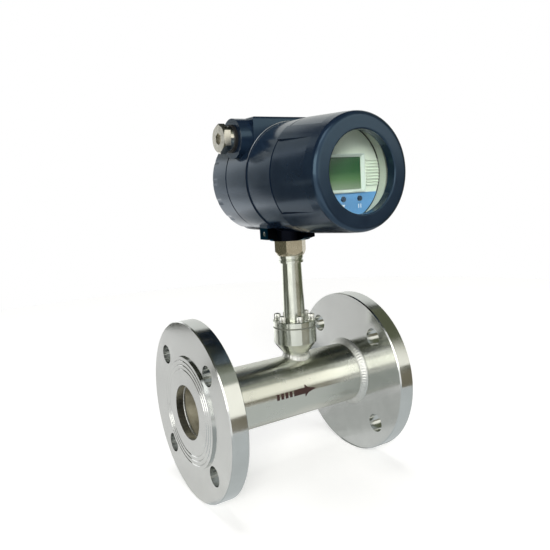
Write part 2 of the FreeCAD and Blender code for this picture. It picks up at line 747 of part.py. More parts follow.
def washer(label, inner, outer, start, end):
    """A flat ring or disc about the head's axis."""
    body = new_body(label, HEAD)
    turned(body, "ring", "Y", [(start, inner), (start, outer), (end, outer), (end, inner)])
    return body


# Window: gasket against the lip, glass, and the threaded ring that holds them
washer("window_gasket", "window_od / 2 + window_gasket_inset", "glass_od / 2", "lip_back", "glass_front")
washer("window_glass", "0", "glass_od / 2", "glass_front", "glass_back")
washer("glass_retainer", "retainer_id / 2", "cover_bore / 2 - fit_gap", "glass_back",
       "glass_back + retainer_thickness")

# Rear cover: closed cap with grip scallops round its end
rear = new_body("rear_cover", HEAD)
turned(rear, "shell", "Y", [
    ("rear_cover_end", "thread_od / 2 + thread_gap"),
    ("rear_cover_end", "rear_cover_od / 2"),
    ("rear_reach", "rear_cover_od / 2"),
    ("rear_reach", "0"),
    ("rear_reach - rear_cover_wall", "0"),
    ("rear_reach - rear_cover_wall", "rear_cover_bore / 2"),
    ("rear_neck_end + joint_gap", "rear_cover_bore / 2"),
    ("rear_neck_end + joint_gap", "thread_od / 2 + thread_gap"),
    ("rear_seal_at + seal_section / 2 + seal_gap", "thread_od / 2 + thread_gap"),
    ("rear_seal_at + seal_section / 2 + seal_gap", "seal_radius + seal_section / 2 + seal_gap"),
    ("rear_seal_at - seal_section / 2 - seal_gap", "seal_radius + seal_section / 2 + seal_gap"),
    ("rear_seal_at - seal_section / 2 - seal_gap", "thread_od / 2 + thread_gap"),
])
dress(rear, "rim", "Fillet", "rear_cover_round",
      lambda edge: ring_edge(edge, "Y", size("rear_cover_od") / 2, size("rear_reach")))
scallop = raised(rear, "scallop", "XZ_Plane",
                 lambda sketch: circle(sketch, "rear_cover_od / 2 + scallop_od / 2 - scallop_depth", "0",
                                       "scallop_od"),
                 "scallop_length", lift="-rear_reach", kind="Pocket", reverse=True)
repeat(rear, "scallops", "Y_Axis", [scallop], "scallop_count")


# Sealing ring between a cover and the housing's neck
def sealing_ring(label, place):
    ring = doc.addObject("Part::Torus", label)
    ring.Label = label
    ring.setExpression("Radius1", cells("seal_radius"))
    ring.setExpression("Radius2", cells("seal_section / 2"))
    ring.Placement = FreeCAD.Placement(FreeCAD.Vector(), FreeCAD.Rotation(FreeCAD.Vector(1, 0, 0), 90))
    for axis, text in zip("xyz", ("stem_x", place, "head_height")):
        ring.setExpression("Placement.Base." + axis, cells(text))
    nodes.append(ring)


sealing_ring("front_seal", "front_seal_at")
sealing_ring("rear_seal", "rear_seal_at")


def block(label, draw, start, length, reverse=True):
    """A piece drawn square to the head's axis and raised to the rear of its start, or to the front."""
    body = new_body(label, HEAD)
    raised(body, "block", "XZ_Plane", draw, length, lift=f"-({start})", reverse=reverse)
    return body


def window(sketch, width, height):
    rectangle(sketch, f"-({width}) / 2", f"({width}) / 2", f"-({height}) / 2", f"({height}) / 2")


def at_keys(sketch, diameter):
    for step in (-1, 0, 1):
        circle(sketch, f"{step} * key_spacing" if step else "0", "-key_drop", diameter)


# Display: plate with its window and key holes, bezel ring, module, glass and frame
plate = block("display_plate", lambda sketch: circle(sketch, "0", "0", "plate_od"),
              "-display_at", "plate_thickness")
raised(plate, "lcd_window", "XZ_Plane", lambda sketch: window(sketch, "lcd_width", "lcd_height"),
       None, kind="Pocket", side="Symmetric")
raised(plate, "key_holes", "XZ_Plane", lambda sketch: at_keys(sketch, "key_od + 2 * key_gap"),
       None, kind="Pocket", side="Symmetric")
washer("display_bezel", "bezel_id / 2", "plate_od / 2", "-display_at - bezel_depth", "-display_at")
block("lcd_module", lambda sketch: window(sketch, "module_width", "module_height"),
      "plate_back", "module_depth")
block("lcd_glass", lambda sketch: window(sketch, "lcd_width - 2 * lcd_gap", "lcd_height - 2 * lcd_gap"),
      "plate_back", "lcd_glass_thickness", reverse=False)
frame = block("lcd_frame",
              lambda sketch: window(sketch, "lcd_width + 2 * lcd_border", "lcd_height + 2 * lcd_border"),
              "-display_at", "lcd_frame_rise", reverse=False)
raised(frame, "opening", "XZ_Plane", lambda sketch: window(sketch, "lcd_width", "lcd_height"),
       None, kind="Pocket", side="Symmetric")


def opening_rim(edge):
    """Whether an edge is one of the four round the frame's opening, on its front face."""
    front_face = -size("display_at") - size("lcd_frame_rise")
    return all(abs(vertex.Y - front_face) < 1e-4 and abs(vertex.X) < size("lcd_width") / 2 + 1e-4
               and abs(vertex.Z) < size("lcd_height") / 2 + 1e-4 for vertex in edge.Vertexes)


dress(frame, "bevel", "Chamfer", "lcd_bevel", opening_rim)

# Coloured keypad label: a segment of a disc below the LCD, with the keys standing through it
label = block("keypad_label", lambda sketch: circle(sketch, "0", "0", "bezel_id - 2 * label_inset"),
              "-display_at", "label_thickness", reverse=False)
raised(label, "straight_edge", "XZ_Plane",
       lambda sketch: rectangle(sketch, "-bezel_id", "bezel_id", "-label_top", "bezel_id"),
       None, kind="Pocket", side="Symmetric")
raised(label, "key_holes", "XZ_Plane", lambda sketch: at_keys(sketch, "key_od + 2 * key_gap"),
       None, kind="Pocket", side="Symmetric")

# Keys, each with a flange behind the plate, over a switch on the main board
for name, step in (("left", -1), ("middle", 0), ("right", 1)):
    key = new_body(f"key_{name}", (f"stem_x + {step} * key_spacing", "0", "head_height - key_drop"))
    turned(key, "stem", "Y", [
        ("-display_at - key_rise", "0"),
        ("-display_at - key_rise", "key_od / 2"),
        ("plate_back + key_slack", "key_od / 2"),
        ("plate_back + key_slack", "key_od / 2 + key_flange"),
        ("plate_back + key_slack + key_flange_height", "key_od / 2 + key_flange"),
        ("plate_back + key_slack + key_flange_height", "key_od / 2"),
        ("key_tail", "key_od / 2"),
        ("key_tail", "0"),
    ])


def at_switches(sketch):
    for step in (-1, 0, 1):
        middle = f"{step} * key_spacing"
        rectangle(sketch, f"{middle} - switch_size / 2", f"{middle} + switch_size / 2",
                  "-key_drop - switch_size / 2", "-key_drop + switch_size / 2")


block("key_switches", at_switches, "-main_board_at", "-main_board_at - key_tail - key_travel - key_slack",
      reverse=False)


def at_posts(sketch):
    for across in ("-", ""):
        for up in ("-", ""):
            circle(sketch, f"{across}post_circle / 2 * cos(45)", f"{up}post_circle / 2 * sin(45)", "post_od")


# Boards on pillars, from the partition forward to the display plate
block("rear_standoffs", at_posts, "-partition_at", "-partition_at - power_back", reverse=False)
block("power_board", lambda sketch: circle(sketch, "0", "0", "board_od"),
      "-power_board_at", "board_thickness")
block("front_standoffs", at_posts, "-power_board_at", "-power_board_at - main_back", reverse=False)
block("main_board", lambda sketch: circle(sketch, "0", "0", "board_od"),
      "-main_board_at", "board_thickness")
block("display_standoffs", at_posts, "-main_board_at", "-main_board_at - plate_back", reverse=False)

# Terminal block on the rear of the partition, with its clamp screws
block("terminal_block", lambda sketch: window(sketch, "terminal_width", "terminal_height"),
      "partition_back", "terminal_depth")


def at_terminals(sketch):
    for step in range(int(size("terminal_count"))):
        circle(sketch, f"terminal_width * (({step} + 0.5) / terminal_count - 0.5)", "0", "terminal_screw_od")


block("terminal_screws", at_terminals, "partition_back + terminal_depth", "terminal_screw_rise")

# Plug in the left conduit entry, on its sealing washer
ENTRY = ("stem_x", "boss_back", "head_height + boss_height")
ring = new_body("plug_washer", ENTRY)
turned(ring, "ring", "X", [
    ("plug_seat", "entry_bore / 2"),
    ("plug_seat", "plug_washer_od / 2"),
    ("-boss_reach", "plug_washer_od / 2"),
    ("-boss_reach", "entry_bore / 2"),
])
plug = new_body("entry_plug", ENTRY)
turned(plug, "shank", "X", [
    ("plug_hex", "0"),
    ("plug_hex", "plug_flange_od / 2"),
    ("plug_seat", "plug_flange_od / 2"),
    ("plug_seat", "entry_bore / 2 - fit_gap"),
    ("plug_seat + plug_shank", "entry_bore / 2 - fit_gap"),
    ("plug_seat + plug_shank", "0"),
])
raised(plug, "hexagon", "YZ_Plane", lambda sketch: hexagon(sketch, "0", "0", "plug_flats", "90"),
       "plug_hex_length", lift="plug_hex", reverse=True)
PLUG_CORNER = "plug_flats / sqrt(3)"
turned(plug, "chamfer", "X", [
    ("plug_end - cut_over", f"{PLUG_CORNER} - plug_chamfer * 2"),
    ("plug_end - cut_over", f"{PLUG_CORNER} + cut_over"),
    ("plug_end + plug_chamfer", f"{PLUG_CORNER} + cut_over"),
    ("plug_end + plug_chamfer", PLUG_CORNER),
    ("plug_end", f"{PLUG_CORNER} - plug_chamfer * 1.7"),
], kind="Groove")
raised(plug, "socket", "YZ_Plane", lambda sketch: hexagon(sketch, "0", "0", "plug_socket", "90"),
       "plug_socket_depth", lift="plug_end", kind="Pocket", reverse=True)

doc.recompute()
faults = [item.Label for item in doc.Objects if {"Invalid", "Error"} & set(item.State)]
faults += [node.Label for node in nodes if node.Shape.isNull() or not node.Shape.isValid()]
cuts = [item for item in doc.Objects if item.TypeId in ("PartDesign::Pocket", "PartDesign::Groove")]
faults += [cut.Label for cut in cuts if cut.Shape.Volume > cut.BaseFeature.Shape.Volume - 1e-6]
if faults:
    raise RuntimeError("not built: " + ", ".join(faults))

os.makedirs("parts", exist_ok=True)
for node in nodes:
    node.Shape.exportStep(f"parts/{node.Label}.step")
print(len(nodes), "pieces written")
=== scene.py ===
# %% [markdown]
# # A thermal mass flow meter, dressed for its picture
# The meter is a short flanged pipe of stainless steel with a turned sensor bowl on its back, a thin
# neck, and a painted head with a window. The solids come in as a fixed frame, in metres, with the
# pipe along X and the window facing -Y. This file gives each solid its finish and adds the small
# pieces that the solids leave out. Everything new is made in place, so nothing has to be moved.

# %% Load the solids
import math

import bmesh
import bpy
import numpy as np
from mathutils import Matrix, Vector


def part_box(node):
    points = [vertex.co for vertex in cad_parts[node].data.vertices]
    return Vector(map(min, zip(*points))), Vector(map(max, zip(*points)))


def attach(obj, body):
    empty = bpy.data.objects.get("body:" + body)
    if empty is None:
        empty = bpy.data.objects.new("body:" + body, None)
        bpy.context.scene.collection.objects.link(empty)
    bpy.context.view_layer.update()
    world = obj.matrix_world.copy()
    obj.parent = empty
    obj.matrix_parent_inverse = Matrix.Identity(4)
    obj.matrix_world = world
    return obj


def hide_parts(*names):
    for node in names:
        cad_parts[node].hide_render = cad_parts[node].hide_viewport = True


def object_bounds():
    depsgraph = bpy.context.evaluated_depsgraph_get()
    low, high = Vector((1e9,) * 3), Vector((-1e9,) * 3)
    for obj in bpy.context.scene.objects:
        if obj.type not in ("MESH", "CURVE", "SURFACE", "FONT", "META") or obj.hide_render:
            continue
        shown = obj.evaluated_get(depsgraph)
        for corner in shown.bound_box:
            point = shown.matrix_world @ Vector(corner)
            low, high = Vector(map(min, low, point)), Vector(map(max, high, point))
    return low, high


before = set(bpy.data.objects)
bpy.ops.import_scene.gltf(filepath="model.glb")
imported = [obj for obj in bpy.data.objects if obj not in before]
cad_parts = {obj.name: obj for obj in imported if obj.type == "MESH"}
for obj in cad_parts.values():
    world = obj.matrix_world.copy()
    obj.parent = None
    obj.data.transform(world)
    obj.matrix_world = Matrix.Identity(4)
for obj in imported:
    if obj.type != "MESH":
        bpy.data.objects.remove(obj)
cad_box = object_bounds()
MM = 0.001

# %% [markdown]
# ## The camera
# The pipe's ends and the window's circle fix where the photographer stood: low, to the left of the
# window, and close enough for the near flange to look much larger than the far one. An azimuth, a
# height, a small roll and a distance say this more plainly than a typed matrix would.


# %% Camera
def new_object(name, data):
    """An object with this data, linked to the scene."""
    piece = bpy.data.objects.new(name, data)
    bpy.context.collection.objects.link(piece)
    return piece


AZIMUTH, HEIGHT, ROLL = (math.radians(a) for a in (-31.539, 8.452, -3.284))
TARGET = Vector((100, -1.219, 112.633)) * MM
DISTANCE = 568.281 * MM
FOCUS_PIXELS, IMAGE_PIXELS = 594.139, 550

ahead = math.cos(HEIGHT)
back = Vector((math.sin(AZIMUTH) * ahead, -math.cos(AZIMUTH) * ahead, math.sin(HEIGHT)))
level = Vector((0, 0, 1)).cross(back).normalized()
upright = back.cross(level)
right = level * math.cos(ROLL) + upright * math.sin(ROLL)
up = upright * math.cos(ROLL) - level * math.sin(ROLL)

camera = new_object("camera", bpy.data.cameras.new("camera"))
camera.data.sensor_width = 36
camera.data.lens = camera.data.sensor_width * FOCUS_PIXELS / IMAGE_PIXELS
camera.data.clip_start = 0.01
turned = Matrix((right, up, back)).transposed().to_4x4()
camera.matrix_world = Matrix.Translation(TARGET + back * DISTANCE) @ turned
bpy.context.scene.camera = camera
bpy.context.scene.view_settings.view_transform = "Standard"
print("camera at", [round(c, 3) for c in camera.location], "lens", round(camera.data.lens, 2))

# %% [markdown]
# ## Helpers for node trees
# Every material and every repeated piece is a tree of nodes. One function adds a node, sets it up
# and plugs in what feeds it: a value goes onto the socket, and a node or a socket gets a link.
# Colours are written as in a paint program and turned to the linear numbers that the renderer
# counts in.


# %% Node and colour helpers
def linear(code):
    """Linear red, green and blue, and a full alpha, from an sRGB colour such as #c0ffee."""
    shades = [int(code[i:i + 2], 16) / 255 for i in (1, 3, 5)]
    return [s / 12.92 if s <= 0.04045 else ((s + 0.055) / 1.055) ** 2.4 for s in shades] + [1]


def add(tree, kind, inputs=None, stops=(), **settings):
    """Adds a node, or takes one that is there, sets it up and plugs in what feeds it."""
    node = tree.nodes.new(kind) if isinstance(kind, str) else kind
    for name, value in settings.items():
        setattr(node, name, value)
    for name, value in (inputs or {}).items():
        if isinstance(value, bpy.types.Node):
            value = value.outputs[0]
        if isinstance(value, bpy.types.NodeSocket):
            tree.links.new(value, node.inputs[name])
        else:
            node.inputs[name].default_value = value
    for i, (place, code) in enumerate(stops):
        marks = node.color_ramp.elements
        mark = marks[i] if i < len(marks) else marks.new(place)
        mark.position, mark.color = place, linear(code)
    return node


def new_material(name, inputs=None):
    """A material with one shader. Returns it, its tree, the shader and the object's coordinates."""
    material = bpy.data.materials.new(name)
    material.use_nodes = True
    tree = material.node_tree
    shader = add(tree, tree.nodes["Principled BSDF"], inputs)
    return material, tree, shader, add(tree, "ShaderNodeTexCoord").outputs["Object"]


print("helpers ready")

# %% [markdown]
# ## The studio
# The photograph is lit softly on a white table. The world is white to the eye and in reflections,
# and much weaker as a light, so that the lamps draw the shapes. The table is white paper that keeps
# the meter's soft shadow. A light path node tells the uses apart: the paper glows a little for the
# eye, less for a mirror, and not at all as a light, so it doesn't light the meter from below.


# %% World and table
def looked_at(tree):
    """1 where the eye, a mirror or a glass sees a surface, and 0 where it only gives light."""
    path = add(tree, "ShaderNodeLightPath").outputs
    seen = add(tree, "ShaderNodeMath", {0: path["Is Camera Ray"], 1: path["Is Glossy Ray"]},
               operation="MAXIMUM")
    seen = add(tree, "ShaderNodeMath", {0: seen, 1: path["Is Transmission Ray"]},
               operation="MAXIMUM")
    # Light on its way to a dull surface behind the window also passes the glass, and isn't seeing.
    seeing = add(tree, "ShaderNodeMath", {0: path["Diffuse Depth"], 1: 0.5},
                 operation="LESS_THAN")
    return add(tree, "ShaderNodeMath", {0: seen, 1: seeing}, operation="MULTIPLY")


FILL, PAPER_SEEN, PAPER_MIRRORED = 0.13, 0.53, 0.26
TABLE_RADIUS, PIPE_MIDDLE = 1.2, 0.1
world = bpy.data.worlds.new("studio")
bpy.context.scene.world = world
world.use_nodes = True
tree = world.node_tree
strength = add(tree, "ShaderNodeMapRange", {
    "Value": looked_at(tree), "To Min": FILL, "To Max": 1.0})
add(tree, tree.nodes["Background"], {"Color": (1, 1, 1, 1), "Strength": strength})

floor_height = cad_box[0][2]
bpy.ops.mesh.primitive_circle_add(vertices=96, radius=TABLE_RADIUS, fill_type="NGON",
                                  location=(PIPE_MIDDLE, 0, floor_height))
table = bpy.context.object
table.name = "table"
# Matt paper gives an even white that mirrors nothing.
paper, tree, shader, _ = new_material("white_table_paper", {
    "Base Color": linear("#f2f2f1"), "Roughness": 0.9, "Specular IOR Level": 0,
    "Emission Color": (1, 1, 1, 1)})
eye = add(tree, "ShaderNodeLightPath").outputs["Is Camera Ray"]
glow = add(tree, "ShaderNodeMapRange", {
    "Value": eye, "To Min": PAPER_MIRRORED, "To Max": PAPER_SEEN})
glow = add(tree, "ShaderNodeMath", {0: looked_at(tree), 1: glow}, operation="MULTIPLY")
add(tree, shader, {"Emission Strength": glow})
table.data.materials.append(paper)
print("table at", round(floor_height, 4))

# %% [markdown]
# ## Lamps and boards
# Bright steel shows its surroundings more than its own colour, so the room matters as much as the
# metal. A soft lamp low at the front left lights the dull surfaces and reaches in through the
# window. A weak one stands at the right, and a broad one hangs over the table for the floor and its
# shadow. Boards that only shiny surfaces see stand for the room: a pale window in front, darker
# walls to the right, a dark ceiling, and on the table the edge and the darker floor past it.

# %% Lamps
AIM = Vector((PIPE_MIDDLE, 0, 0.1))


def lamp(name, place, width, height, radiance, colour):
    """A soft rectangular lamp, turned to the pipe, that lights the surfaces but isn't mirrored."""
    light = bpy.data.lights.new(name, "AREA")
    light.shape = "RECTANGLE"
    light.size, light.size_y = width, height
    light.energy = radiance * math.pi * width * height
    light.color = linear(colour)[:3]
    piece = new_object(name, light)
    piece.location = place
    piece.rotation_euler = (AIM - Vector(place)).to_track_quat("-Z", "Y").to_euler()
    piece.visible_camera = piece.visible_glossy = False


# Place, width and height in metres, radiance, and colour.
lamp("key_softbox", (-2.43, -3.89, 2.26), 1.7, 1.7, 16.0, "#fffdf8")
lamp("top_softbox", (0.1, 0.2, 5.0), 2.4, 2.4, 4.0, "#ffffff")
lamp("right_softbox", (2.7, -3.6, 3.0), 2.4, 1.8, 0.5, "#fffdf4")
print("3 lamps")


# %% Boards
def board(name, corners, colour, strength=1.0):
    """A bent board, given as a grid of corners, that only shiny surfaces see."""
    across = len(corners[0])
    starts = [r * across + c for r in range(len(corners) - 1) for c in range(across - 1)]
    faces = [(s, s + 1, s + across + 1, s + across) for s in starts]
    mesh = bpy.data.meshes.new(name)
    mesh.from_pydata([corner for row in corners for corner in row], [], faces)
    # A board gives only its own even glow, and no mirror image.
    mesh.materials.append(new_material(name, {
        "Base Color": (0, 0, 0, 1), "Roughness": 1.0, "Specular IOR Level": 0,
        "Emission Color": linear(colour), "Emission Strength": strength})[0])
    piece = new_object(name, mesh)
    piece.visible_camera = piece.visible_shadow = False
    piece.visible_diffuse = piece.visible_transmission = False


ROOM = 3.0


def around(turn, reach, height):
    """The point at an azimuth, in radians, and a distance from the middle of the pipe."""
    return PIPE_MIDDLE + reach * math.sin(turn), -reach * math.cos(turn), height


def on_wall(turns, lifts, reach=ROOM):
    """Corners on the far wall, between two azimuths and two heights in degrees."""
    heights = np.radians(np.linspace(*lifts, 5))
    return [[around(t, reach * math.cos(h), reach * math.sin(h)) for h in heights]
            for t in np.radians(np.linspace(*turns, 13))]


def on_table(turns, reaches):
    """Corners just above the table, between two azimuths and two distances from the pipe."""
    return [[around(t, r, floor_height + MM) for r in reaches]
            for t in np.radians(np.linspace(*turns, 25))]


print("room of", ROOM, "m")

# %% Walls and ceiling
# Azimuths and heights in degrees, a colour, and a strength where it isn't 1.
walls = {
    "bright_window": ((5, 47), (2, 37), "#fffdf2", 1.4),
    "wall_under_window": ((-10, 47), (-3, 2), "#7d7768"),
    "wall_over_window": ((5, 47), (37, 50), "#a9aea2"),
    "cornice_over_window": ((5, 47), (50, 57), "#7a8070"),
    "dark_wall_right": ((47, 104), (-3, 57), "#646853"),
    "grey_wall_corner": ((104, 112), (-3, 45), "#a9aca0"),
    "pale_wall_back": ((112, 180), (-3, 45), "#eceeea"),
    "bright_wall_left": ((-180, -153), (-3, 25), "#ffffff", 1.4),
    "upper_wall_left": ((-180, -153), (25, 47), "#b4b6b0"),
    "wall_edge_left": ((-153, -149), (-3, 25), "#aeb0a8"),
    "dark_wall_left": ((-149, -80), (-3, 40), "#50534a"),
    "lit_curtain_left": ((-80, -30), (3, 31), "#fdfcf6", 3.4),
    "key_panel": ((-60, -15), (42, 66), "#ffffff", 2.2),
    "dark_ceiling_front": ((5, 104), (57, 89), "#494d41"),
    "dark_ceiling_left": ((-152, -60), (40, 89), "#3a3d34"),
    "dark_ceiling_key": ((-60, 5), (66, 89), "#3a3d34"),
    "black_ceiling_back": ((104, 208), (45, 89), "#191c16"),
}
for name, (turns, lifts, *light) in walls.items():
    board(name, on_wall(turns, lifts), *light)
SILL_DEPTH = 0.1
board("window_sill", on_wall((34, 46), (1.5, 6), ROOM - SILL_DEPTH), "#5f5f52")
print(len(walls) + 1, "boards round the room")

# %% Table and floor
# Azimuths in degrees, distances in metres, a colour, and a strength where it isn't 1.
# The dark boards close under and behind the meter are painted shade: its shadow on the table, as
# mirrors see it.
floors = {
    "table_front": ((-80, 72), (0.01, 0.38), "#cfd4d5"),
    "paper_front": ((-62, 5), (0.38, 1.5), "#ffffff", 1.15),
    "table_right": ((72, 143), (0.14, 0.38), "#cfd4d5"),
    "table_under_outlet": ((55, 102), (0.01, 0.08), "#e0e1df"),
    "table_half_shade": ((102, 114), (0.01, 0.09), "#d1d3d0"),
    "table_in_shade": ((114, 260), (0.01, 0.1), "#c1c3c0"),
    "table_by_outlet": ((72, 112), (0.08, 0.14), "#8f938f"),
    "brown_floor_front": ((5, 47), (0.39, ROOM), "#857f6e"),
    "olive_floor_right": ((47, 104), (0.39, ROOM), "#666955"),
    "brown_floor_far": ((-25, 5), (1.5, ROOM), "#8f8670"),
    "dark_floor_back": ((136, 160), (0.2, 0.95), "#2a2c26"),
    "dark_floor_near": ((160, 200), (0.2, 0.35), "#3c3f38"),
    "grey_floor_back": ((160, 200), (0.35, 0.45), "#a0a8aa"),
    "bright_floor_back": ((160, 203), (0.5, 2.0), "#ffffff", 1.6),
    "dark_floor_left": ((-140, -80), (0.42, 1.5), "#5f6154"),
    "grey_floor_left": ((-140, -80), (1.5, ROOM), "#a3a49a"),
}
for name, (turns, reaches, *light) in floors.items():
    board(name, on_table(turns, reaches), *light)

# A low dark screen stands close behind the inlet.
SCREEN_REACH, SCREEN_HEIGHTS = 0.26, (0.03, 0.1, 0.17)
screen = [[around(t, SCREEN_REACH, height) for height in SCREEN_HEIGHTS]
          for t in np.radians(np.linspace(-144, -126, 7))]
board("dark_panel_left", screen, "#50534a")
print(len(floors) + 1, "boards on the table")

# %% [markdown]
# ## Steel
# All the wet parts are stainless steel. What differs is the last tool that touched it: a lathe
# leaves fine rings on the flange faces and the stem, a polishing belt leaves lines round the tube.
# The marks could be cut in the mesh, but they are finer than a hair, so they are bump and
# roughness. On turned work the lay always runs round the axis, so rings by radius and lines along
# the axis cover every face. To the eye they stretch each mirror image across the lay, so the room
# runs along the tube in bands. Real marks are about 0.1 mm apart. They are drawn 1 to 3 mm apart
# here, so that they show.

# %% Turned and polished stainless steel
# The tangent runs along the marks, and a quarter turn lays the stretch across them.
ACROSS_LAY = 0.25


def turned_steel(name, axis, centre, colour, roughness, marks_mm, depth, smudge_mm=18, grain=0.7):
    """Stainless steel with tool marks round one axis, a little uneven in tone from handling."""
    material, tree, shader, place = new_material(name, {
        "Metallic": 1.0, "Anisotropic": grain, "Anisotropic Rotation": ACROSS_LAY})
    lay = add(tree, "ShaderNodeTangent", direction_type="RADIAL", axis=axis)
    moved = add(tree, "ShaderNodeMapping", {"Vector": place, "Location": [-c * MM for c in centre]})
    # A wave repeats every 2 pi / 20 divided by its scale.
    marks = {"Vector": moved, "Scale": 2 * math.pi / 20 / (marks_mm * MM), "Distortion": 0.5,
             "Detail": 2, "Detail Scale": 1.5}
    rings = add(tree, "ShaderNodeTexWave", marks, wave_type="RINGS", rings_direction=axis)
    lines = add(tree, "ShaderNodeTexWave", marks, wave_type="BANDS", bands_direction=axis)
    height = add(tree, "ShaderNodeMath", {0: rings.outputs["Fac"], 1: lines.outputs["Fac"]})
    bump = add(tree, "ShaderNodeBump", {"Height": height, "Strength": depth, "Distance": 0.02 * MM})
    smudge = add(tree, "ShaderNodeTexNoise", {
        "Vector": moved, "Scale": 1 / (smudge_mm * MM), "Detail": 4})
    spread = {"Value": smudge, "From Min": 0.3, "From Max": 0.7}
    rough = add(tree, "ShaderNodeMapRange", {
        **spread, "To Min": roughness * 0.8, "To Max": roughness * 1.2})
    value = add(tree, "ShaderNodeMapRange", {**spread, "To Min": 0.95, "To Max": 1.03})
    tone = add(tree, "ShaderNodeHueSaturation", {"Color": linear(colour), "Value": value})
    add(tree, shader, {"Base Color": tone, "Roughness": rough, "Normal": bump, "Tangent": lay})
    return material


# Axis and a point on it, colour, roughness, spacing and depth of marks, size of smudges, grain.
PIPE, STEM = (0, 0, 0), (120, 0, 0)
finish = {
    # Faced and rimmed on a lathe: a cool, slightly hazy mirror.
    "flange_steel": turned_steel(
        "turned_stainless_flange", "X", PIPE, "#cfd1cf", 0.16, 3.2, 0.12),
    # Belt polished round and round: long soft bands from end to end.
    "tube_steel": turned_steel(
        "polished_stainless_tube", "X", PIPE, "#d1d2c9", 0.24, 2.4, 0.15, 18, 1.0),
    # Turned from bar: clear upright stripes.
    "turned_steel": turned_steel(
        "turned_stainless_stem", "Z", STEM, "#cdd0c6", 0.2, 2.0, 0.2, 12, 0.9),
    # Milled and left so: duller and browner than the rest.
    "adapter_steel": turned_steel(
        "milled_stainless_adapter", "Z", STEM, "#bdb49c", 0.26, 2.8, 0.12, 6),
    # Drawn thin: an even, quiet shine.
    "sensor_steel": turned_steel(
        "drawn_stainless_sensor", "Z", STEM, "#cfcfca", 0.2, 1.6, 0.2, 5),
    # Cold forged: small hard glints.
    "screw_steel": turned_steel(
        "forged_stainless_screw", "Z", STEM, "#cbccc8", 0.2, 1.2, 0.3, 3),
}
print(len(finish), "steels")

# %% [markdown]
# The bore of a pipe isn't polished. It was pickled in acid after welding, which leaves a dull grey
# skin with a brown cast. The tube is one piece of steel, so one material holds both finishes and
# changes over at the middle of the wall, by the distance from the pipe's axis.

# %% Pickled bore
WALL_MIDDLE, STAIN = 27.5 * MM, 9 * MM
SKIN_ROUGHNESS, SKIN_METALLIC = 0.6, 0.3
tree = finish["tube_steel"].node_tree
shader = tree.nodes["Principled BSDF"]
polished = {name: shader.inputs[name].links[0].from_socket
            for name in ("Base Color", "Roughness")}
place = add(tree, "ShaderNodeTexCoord").outputs["Object"]
spoke = add(tree, "ShaderNodeVectorMath", {0: place, 1: (0, 1, 1)}, operation="MULTIPLY")
reach = add(tree, "ShaderNodeVectorMath", {0: spoke}, operation="LENGTH").outputs["Value"]
inside = add(tree, "ShaderNodeMath", {0: reach, 1: WALL_MIDDLE}, operation="LESS_THAN")
stain = add(tree, "ShaderNodeTexNoise", {"Vector": place, "Scale": 1 / STAIN, "Detail": 5})
skin = add(tree, "ShaderNodeValToRGB", {"Fac": stain}, [(0.35, "#857f6b"), (0.65, "#aea995")])
tone = add(tree, "ShaderNodeMix", {"Factor": inside, 6: polished["Base Color"], 7: skin},
           data_type="RGBA")
rough = add(tree, "ShaderNodeMix", {
    "Factor": inside, 2: polished["Roughness"], 3: SKIN_ROUGHNESS})
bare = add(tree, "ShaderNodeMapRange", {"Value": inside, "To Min": 1.0, "To Max": SKIN_METALLIC})
add(tree, shader, {"Base Color": tone.outputs[2], "Roughness": rough, "Metallic": bare})
print("pickled inside", WALL_MIDDLE)

# %% [markdown]
# ## Weld metal and nickel
# A weld bead is cast metal that froze in ripples, paler and duller than the tube beside it. The
# entry plug is brass under bright nickel, smoother than any turned face, with a slight warm cast.

# %% Weld metal
# Frozen grain gives a pale, frosty metal with many small glints.
finish["weld_metal"], tree, shader, place = new_material("frozen_weld_metal", {"Metallic": 1.0})
grain = add(tree, "ShaderNodeTexNoise", {"Vector": place, "Scale": 1 / (1.5 * MM), "Detail": 5})
tone = add(tree, "ShaderNodeValToRGB", {"Fac": grain},
           [(0.3, "#b9bab6"), (0.55, "#d4d5d1"), (0.75, "#e2e2df")])
rough = add(tree, "ShaderNodeMapRange", {"Value": grain, "To Min": 0.3, "To Max": 0.55})
bump = add(tree, "ShaderNodeBump", {"Height": grain, "Strength": 0.5, "Distance": 0.15 * MM})
add(tree, shader, {"Base Color": tone, "Roughness": rough, "Normal": bump})
print("weld metal")

# %% Nickel plate
# Bright plating gives clear mirror images, faintly warm and clouded by handling.
finish["plug_nickel"], tree, shader, place = new_material("nickel_plated_brass", {"Metallic": 1.0})
cloud = add(tree, "ShaderNodeTexNoise", {"Vector": place, "Scale": 1 / (4 * MM), "Detail": 4})
tone = add(tree, "ShaderNodeValToRGB", {"Fac": cloud}, [(0.3, "#bbb8ae"), (0.7, "#d0cec6")])
rough = add(tree, "ShaderNodeMapRange", {"Value": cloud, "To Min": 0.1, "To Max": 0.2})
add(tree, shader, {"Base Color": tone, "Roughness": rough})
print("nickel plate")

# %% [markdown]
# ## Paint on the die casting
# The head is aluminium, die cast and sprayed with a slate navy enamel. Sprayed enamel is never
# quite flat: it dries with a faint orange peel, and under it the casting is a little wavy. That
# breaks the mirrored room into soft patches. A coat layer would do as well, but one glossy layer
# with a fine bump is what the eye sees here. Real orange peel is under 1 mm across, and drawn at
# 1.6 mm to show.

